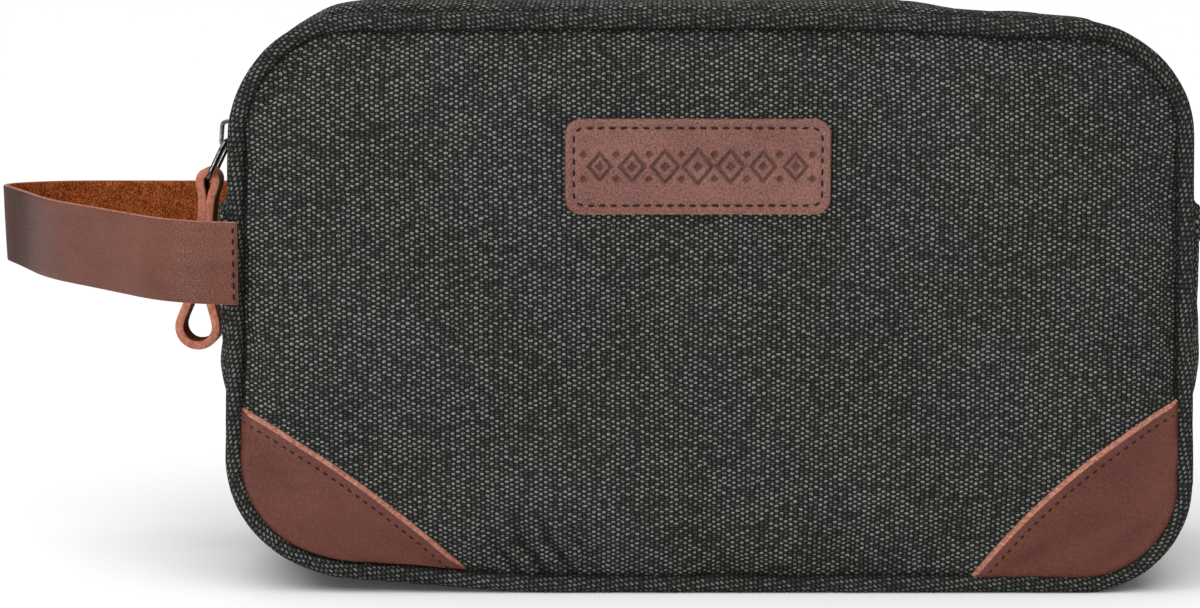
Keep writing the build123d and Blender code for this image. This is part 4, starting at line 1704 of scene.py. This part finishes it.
def label():
    """The label: a padded patch with a pressed border and ornament, and its stitches."""
    half_u, half_v = LABEL_SIZE[0] / 2, LABEL_SIZE[1] / 2
    radius = LABEL_RADIUS
    us, vs = (np.linspace(-1, 1, count) for count in LABEL_GRID)
    rows, cloth = [], []
    for v in vs:
        row, coat = [], []
        for u in us:
            a, b = u * half_u, v * half_v
            corner_u, corner_v = half_u - radius, half_v - radius
            if abs(a) > corner_u and abs(b) > corner_v:
                p, q = (abs(a) - corner_u) / radius, (abs(b) - corner_v) / radius
                p2, q2 = p * math.sqrt(1 - q * q / 2), q * math.sqrt(1 - p * p / 2)
                a = math.copysign(corner_u + p2 * radius, a)
                b = math.copysign(corner_v + q2 * radius, b)
            inside = -rounded_gap(a, b, half_u, half_v, radius) / MM
            height = 1.5 - 0.45 * math.exp(-inside / 0.28) + 0.12 * min(inside / 8, 1)
            groove = abs(inside - SEAM_INSET)
            height -= 0.22 * math.exp(-((groove / 0.5) ** 2))
            pressed = ornament(a / MM, b / MM)
            sunk = 1 / (1 + math.exp(min(pressed / 0.10, 40)))
            height -= 0.60 * sunk
            height += 0.10 * math.exp(-((max(pressed, 0) - 0.35) ** 2) / 0.09) * (pressed > 0)
            height += 0.05 * ripple(a, b, 99, 0.006)
            x, z = LABEL_CENTRE[0] + a, LABEL_CENTRE[1] + b
            row.append((x, label_back(a, b) - height * MM, z))
            coat.append((a, b, sunk * MM))
        rows.append(row)
        cloth.append(coat)
    shape = Shape()
    index = shape.grid(rows, cloth)
    across = LABEL_GRID[0] - 1
    # The bottom row takes the cut edge's colour; the top row and the side columns take its darker copy as
    # painted shade round the label.
    shape.kinds = [
        1 if n < across else 2 if n >= len(shape.kinds) - across or n % across in (0, across - 1) else 0
        for n in range(len(shape.kinds))
    ]
    rim = np.concatenate([index[0, :-1], index[:-1, -1], index[-1, :0:-1], index[:0:-1, 0]])
    rim_points = np.array([shape.points[i] for i in rim])
    rim_cloth = np.array([shape.cloth[i] for i in rim])
    last = rim
    for drop in (0.45, 1.0, 1.7):
        moved = rim_points + np.array([0, drop * MM, 0])
        here = shape.put(moved, rim_cloth)
        shape.quads(np.array([here, last]), 1, closed=True)
        last = here
    piece = shape.build("label_leather_patch", [LABEL_LEATHER, CUT_EDGE, SHADED_CUT_EDGE], "trim_leather")
    settle(piece, "bag", "label_patch")

    line = []
    inner_u, inner_v = half_u - SEAM_INSET * MM, half_v - SEAM_INSET * MM
    inner_radius = radius - 1.6 * MM
    for corner, (su, sv) in enumerate(((1, -1), (1, 1), (-1, 1), (-1, -1))):
        for n in range(9):
            angle = math.radians(-90 + 90 * corner + 90 * n / 8)
            line.append(
                (
                    su * (inner_u - inner_radius) + inner_radius * math.cos(angle),
                    sv * (inner_v - inner_radius) + inner_radius * math.sin(angle),
                )
            )
    line.append(line[0])
    places = [(LABEL_CENTRE[0] + a, label_back(a, b) - 1.42 * MM, LABEL_CENTRE[1] + b) for a, b in line]
    fine = resample(np.array(places), 0.8 * MM)
    sew("label_stitches", THREAD, "trim_leather", [(fine, (0, -1, 0))], 3.0 * MM, 2.2 * MM, 0.26 * MM)


label()

# ---------------------------------------------------------------- stage, light and camera

floor_mesh = bpy.data.meshes.new("floor")
floor_mesh.from_pydata([(-30, -30, 0), (30, -30, 0), (30, 30, 0), (-30, 30, 0)], [], [(0, 1, 2, 3)])
floor = bpy.data.objects.new("floor", floor_mesh)
bpy.context.scene.collection.objects.link(floor)
floor.location.z = -0.0002
floor_paint = Paint("floor_paper", False)
paper = floor_paint.noise(3, 2.0)
floor_mesh.materials.append(
    floor_paint.finish(
        Base_Color=floor_paint.mix(paper, rgb(0.88, 0.88, 0.88), rgb(0.90, 0.90, 0.90)),
        Roughness=0.9,
        Specular_IOR_Level=0.1,
    )
)

world = bpy.data.worlds.new("studio")
bpy.context.scene.world = world
world.use_nodes = True
sky = world.node_tree.nodes["Background"]
sky.inputs["Color"].default_value = rgb(1.0, 1.0, 1.0)
sky.inputs["Strength"].default_value = 0.30
backdrop = world.node_tree.nodes.new("ShaderNodeBackground")
backdrop.inputs["Color"].default_value = rgb(1.0, 1.0, 1.0)
backdrop.inputs["Strength"].default_value = 1.05
seen_by = world.node_tree.nodes.new("ShaderNodeLightPath")
chooser = world.node_tree.nodes.new("ShaderNodeMixShader")
world.node_tree.links.new(seen_by.outputs["Is Camera Ray"], chooser.inputs["Fac"])
world.node_tree.links.new(sky.outputs[0], chooser.inputs[1])
world.node_tree.links.new(backdrop.outputs[0], chooser.inputs[2])
world.node_tree.links.new(chooser.outputs[0], world.node_tree.nodes["World Output"].inputs["Surface"])
bpy.context.scene.view_settings.view_transform = "Standard"


def aim(thing, place, target):
    """Put a light or the camera at a place and turn it to a target."""
    thing.location = place
    thing.rotation_euler = (Vector(target) - Vector(place)).to_track_quat("-Z", "Y").to_euler()


def softbox(name, place, target, size, power):
    """A rectangular light of a width and height in metres and a power in watts."""
    light = bpy.data.lights.new(name, "AREA")
    light.shape = "RECTANGLE"
    light.size, light.size_y = size
    light.energy = power
    lamp = bpy.data.objects.new(name, light)
    bpy.context.scene.collection.objects.link(lamp)
    aim(lamp, place, target)


sun_light = bpy.data.lights.new("sky_panel", "SUN")
sun_light.energy = 2.9
sun_light.angle = math.radians(75)
sun = bpy.data.objects.new("sky_panel", sun_light)
bpy.context.scene.collection.objects.link(sun)
aim(sun, (-0.5, -0.9, 2.6), (0, 0, 0))
softbox("light_left", (-1.15, -1.60, 0.14), (-0.15, 0, 0.08), (0.16, 0.8), 18)
softbox("light_right", (1.3, -1.3, 0.6), (0, 0, 0.08), (0.6, 0.9), 3)

CAMERA_X = -0.0301
camera_data = bpy.data.cameras.new("camera")
camera = bpy.data.objects.new("camera", camera_data)
bpy.context.scene.collection.objects.link(camera)
bpy.context.scene.camera = camera
camera_data.sensor_width = 36
camera_data.lens = 77.6
camera_data.clip_end = 100
aim(camera, (CAMERA_X, -0.744, 0.170), (CAMERA_X, -0.044, 0.0806))
